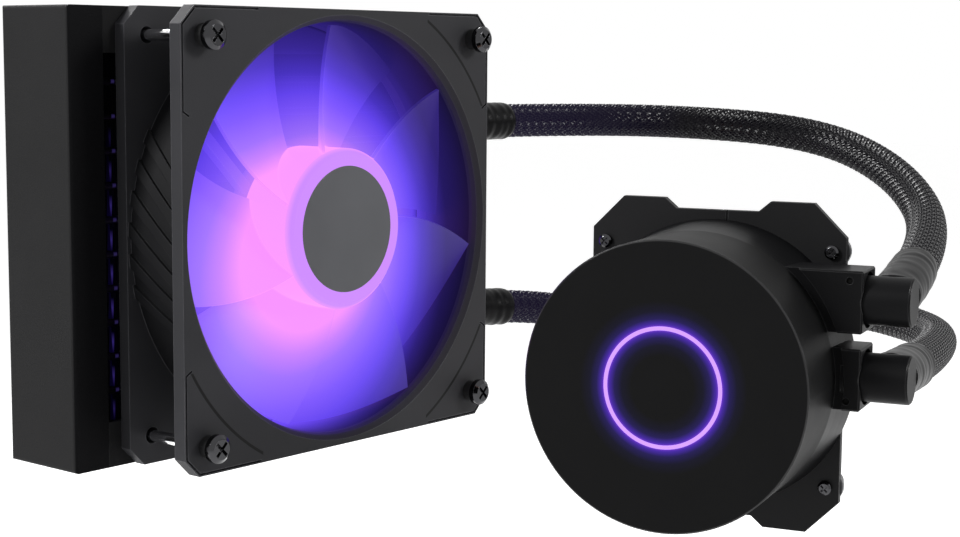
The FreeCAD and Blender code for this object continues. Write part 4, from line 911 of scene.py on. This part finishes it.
def strand_mesh(made, along, start, hand, turn_per_step, phase):
    """One ribbon of the braid. It is high at one crossing and low at the next."""
    last = None
    for k, (point, way, side, up) in enumerate(along):
        angle = start + hand * turn_per_step * k
        out = side * math.cos(angle) + up * math.sin(angle)
        round_way = (up * math.cos(angle) - side * math.sin(angle)) * hand
        slope = math.atan2(turn_per_step * HOSE_R, (along[1][0] - along[0][0]).length)
        across = way * math.sin(slope) - round_way * math.cos(slope)
        high = OVER if (k + phase) % 2 else UNDER
        base = point + out * (HOSE_R - RIBBON_CROWN + high)
        row = [made.verts.new(base + across * RIBBON), made.verts.new(base + out * RIBBON_CROWN),
               made.verts.new(base - across * RIBBON)]
        if last:
            for a in range(3):
                made.faces.new((last[a], last[a - 1], row[a - 1], row[a]))
        last = row


def braided_hose(name, line):
    """A hose: a dark tube and its woven strands, as one mesh."""
    length = length_of(line)
    step = 2 * math.pi * HOSE_R / STRANDS / 2 * OPENNESS
    count = int(length / step) + 1
    along = frames(evenly(line, 0, length, count))
    made = bmesh.new()
    tube_mesh(made, along[::3] + along[-1:], CORE_R, 24)
    turn = math.pi / STRANDS
    for k in range(STRANDS):
        strand_mesh(made, along, 2 * turn * k, 1, turn, k)
        strand_mesh(made, along, 2 * turn * k, -1, turn, k + 1)
    bmesh.ops.recalc_face_normals(made, faces=made.faces)
    data = bpy.data.meshes.new(name)
    made.to_mesh(data)
    made.free()
    hose = bpy.data.objects.new(name, data)
    bpy.context.collection.objects.link(hose)
    print(name, "steps", count, "faces", len(data.polygons))
    return hose


# %% [markdown]
# Beside the fan the hoses take a faint violet shine from its light, which is gone a few centimetres further on.

# %% The hoses' finish
SHINE_GONE_Y, SHINE_FULL_Y = -0.055, -0.018
hose_braid = finish("hose_braid", (0.0016, 0.0013, 0.0026), 0.20, specular=0.09, scale=3000, depth=0.1, edge=0.0)
tree = hose_braid.node_tree
shader = tree.nodes["Principled BSDF"]
split = xyz(tree)
near_fan = add(tree, "MapRange", {"From Min": SHINE_GONE_Y, "From Max": SHINE_FULL_Y})
violet = add(tree, "Mix", {6: (*BLACK, 1), 7: (0.0035, 0.0014, 0.016, 1)}, data_type="RGBA")
wire(tree, (split, "Y", near_fan, "Value"), (near_fan, "Result", violet, "Factor"),
     (violet, 2, shader, "Emission Color"))
shader.inputs["Emission Strength"].default_value = 1.0
print("violet from", SHINE_GONE_Y, "to", SHINE_FULL_Y)

# %% Both hoses
for name, swivel in (("upper", "upper_swivel"), ("lower", "lower_swivel")):
    line = lines[name]
    hose = braided_hose(name + "_braided_hose", line)
    hose.data.materials.append(hose_braid)
    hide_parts(name + "_hose")
    evenly(line, 0, length_of(line), 101)
    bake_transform(hose)
print("hoses done")

# %% [markdown]
# ## Shrunk sleeves
#
# A sleeve of heat-shrink film closes each end of a braid. It shrinks tight over the strands and wrinkles softly
# where the hose is bent while it cools. A sleeve is a flat grid, rolled round the hose's line: each row of the grid
# becomes a ring. A little noise, stretched round the hose, lifts the rings into wrinkles, and Solidify makes it a
# wall. At the pump's end the sleeve meets an elbow's round barrel, so its edge is hollowed to follow that barrel.

# %% Helpers for sleeves
SLEEVE_R = 0.0063
FILM = 0.00045
RADIATOR_LENGTH, PUMP_LENGTH = 0.028, 0.025
OVER_LEG = 0.0016
BARREL_R = 0.00635
HOLLOW_REACH = 0.008
LIP_DEPTH, LIP_SHARE = 0.00035, 0.07
WRINKLE_HEIGHT, WRINKLE_STEP = 0.00022, 0.0022
FILM_SLACK = 0.00012


def longer(line, extra):
    """A line with a straight piece added to its end."""
    way = (line[-1] - line[-2]).normalized()
    return line + [line[-1] + way * extra]


def shrunk_sleeve(name, line, start, end, taper_at, barrel=None):
    """A wrinkled sleeve between two lengths along a line. It is narrower at the taper's end, over the braid.

    With the direction of an elbow's barrel, its far edge is hollowed to follow that barrel.
    """
    rows, sides = 56, 72
    bpy.ops.object.select_all(action="DESELECT")
    bpy.ops.mesh.primitive_grid_add(x_subdivisions=sides, y_subdivisions=rows, size=1)
    sleeve = bpy.context.object
    sleeve.name = name
    along = frames(evenly(line, start, end, rows + 1))
    last, end_way = along[rows][0], along[rows][1]
    aside = end_way.cross(barrel) if barrel else Vector()
    for v in sleeve.data.vertices:
        part = v.co.y + 0.5
        point, way, side, up = along[round(part * rows)]
        angle = 2 * math.pi * (v.co.x + 0.5)
        out = side * math.cos(angle) + up * math.sin(angle)
        spot = Vector((math.cos(angle) * 0.7, math.sin(angle) * 0.7, part * (end - start) / WRINKLE_STEP))
        wave = noise.noise(spot + point * 40)
        near = abs(part - taper_at)
        lip = LIP_DEPTH * (1 - min(near / LIP_SHARE, 1)) ** 2
        radius = SLEEVE_R - FILM_SLACK + wave * WRINKLE_HEIGHT - lip
        v.co = point + out * radius
        if barrel:
            off = (v.co - last).dot(aside)
            hollow = BARREL_R - math.sqrt(max(BARREL_R ** 2 - off ** 2, 0))
            v.co += end_way * hollow * max(1 - (1 - part) * (end - start) / HOLLOW_REACH, 0)
    bpy.ops.object.mode_set(mode="EDIT")
    bpy.ops.mesh.select_all(action="SELECT")
    bpy.ops.mesh.remove_doubles(threshold=0.00001)
    bpy.ops.mesh.normals_make_consistent(inside=False)
    bpy.ops.object.mode_set(mode="OBJECT")
    wall = sleeve.modifiers.new("film", "SOLIDIFY")
    wall.thickness = FILM
    wall.offset = -1
    bpy.ops.object.modifier_apply(modifier="film")
    bpy.ops.object.shade_smooth()
    sleeve.data.materials.append(sleeve_film)
    return sleeve


print("sleeve helpers ready")

# %% All four sleeves
sleeve_film = finish("sleeve_film", (0.0030, 0.0030, 0.0034), 0.34, specular=0.06, scale=1800, depth=0.06,
                     edge=0.0002)
for name in ("upper", "lower"):
    line = lines[name]
    whole = length_of(line)
    near_end = shrunk_sleeve(name + "_radiator_film", line, 0.0, RADIATOR_LENGTH, 1.0)
    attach(near_end, "cooler")
    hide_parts(name + "_radiator_sleeve")
    far_end = shrunk_sleeve(name + "_pump_film", longer(line, OVER_LEG), whole - PUMP_LENGTH, whole + OVER_LEG,
                            0.0, pump_side)
    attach(far_end, name + "_swivel")
    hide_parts(name + "_pump_sleeve")
print("sleeves done")
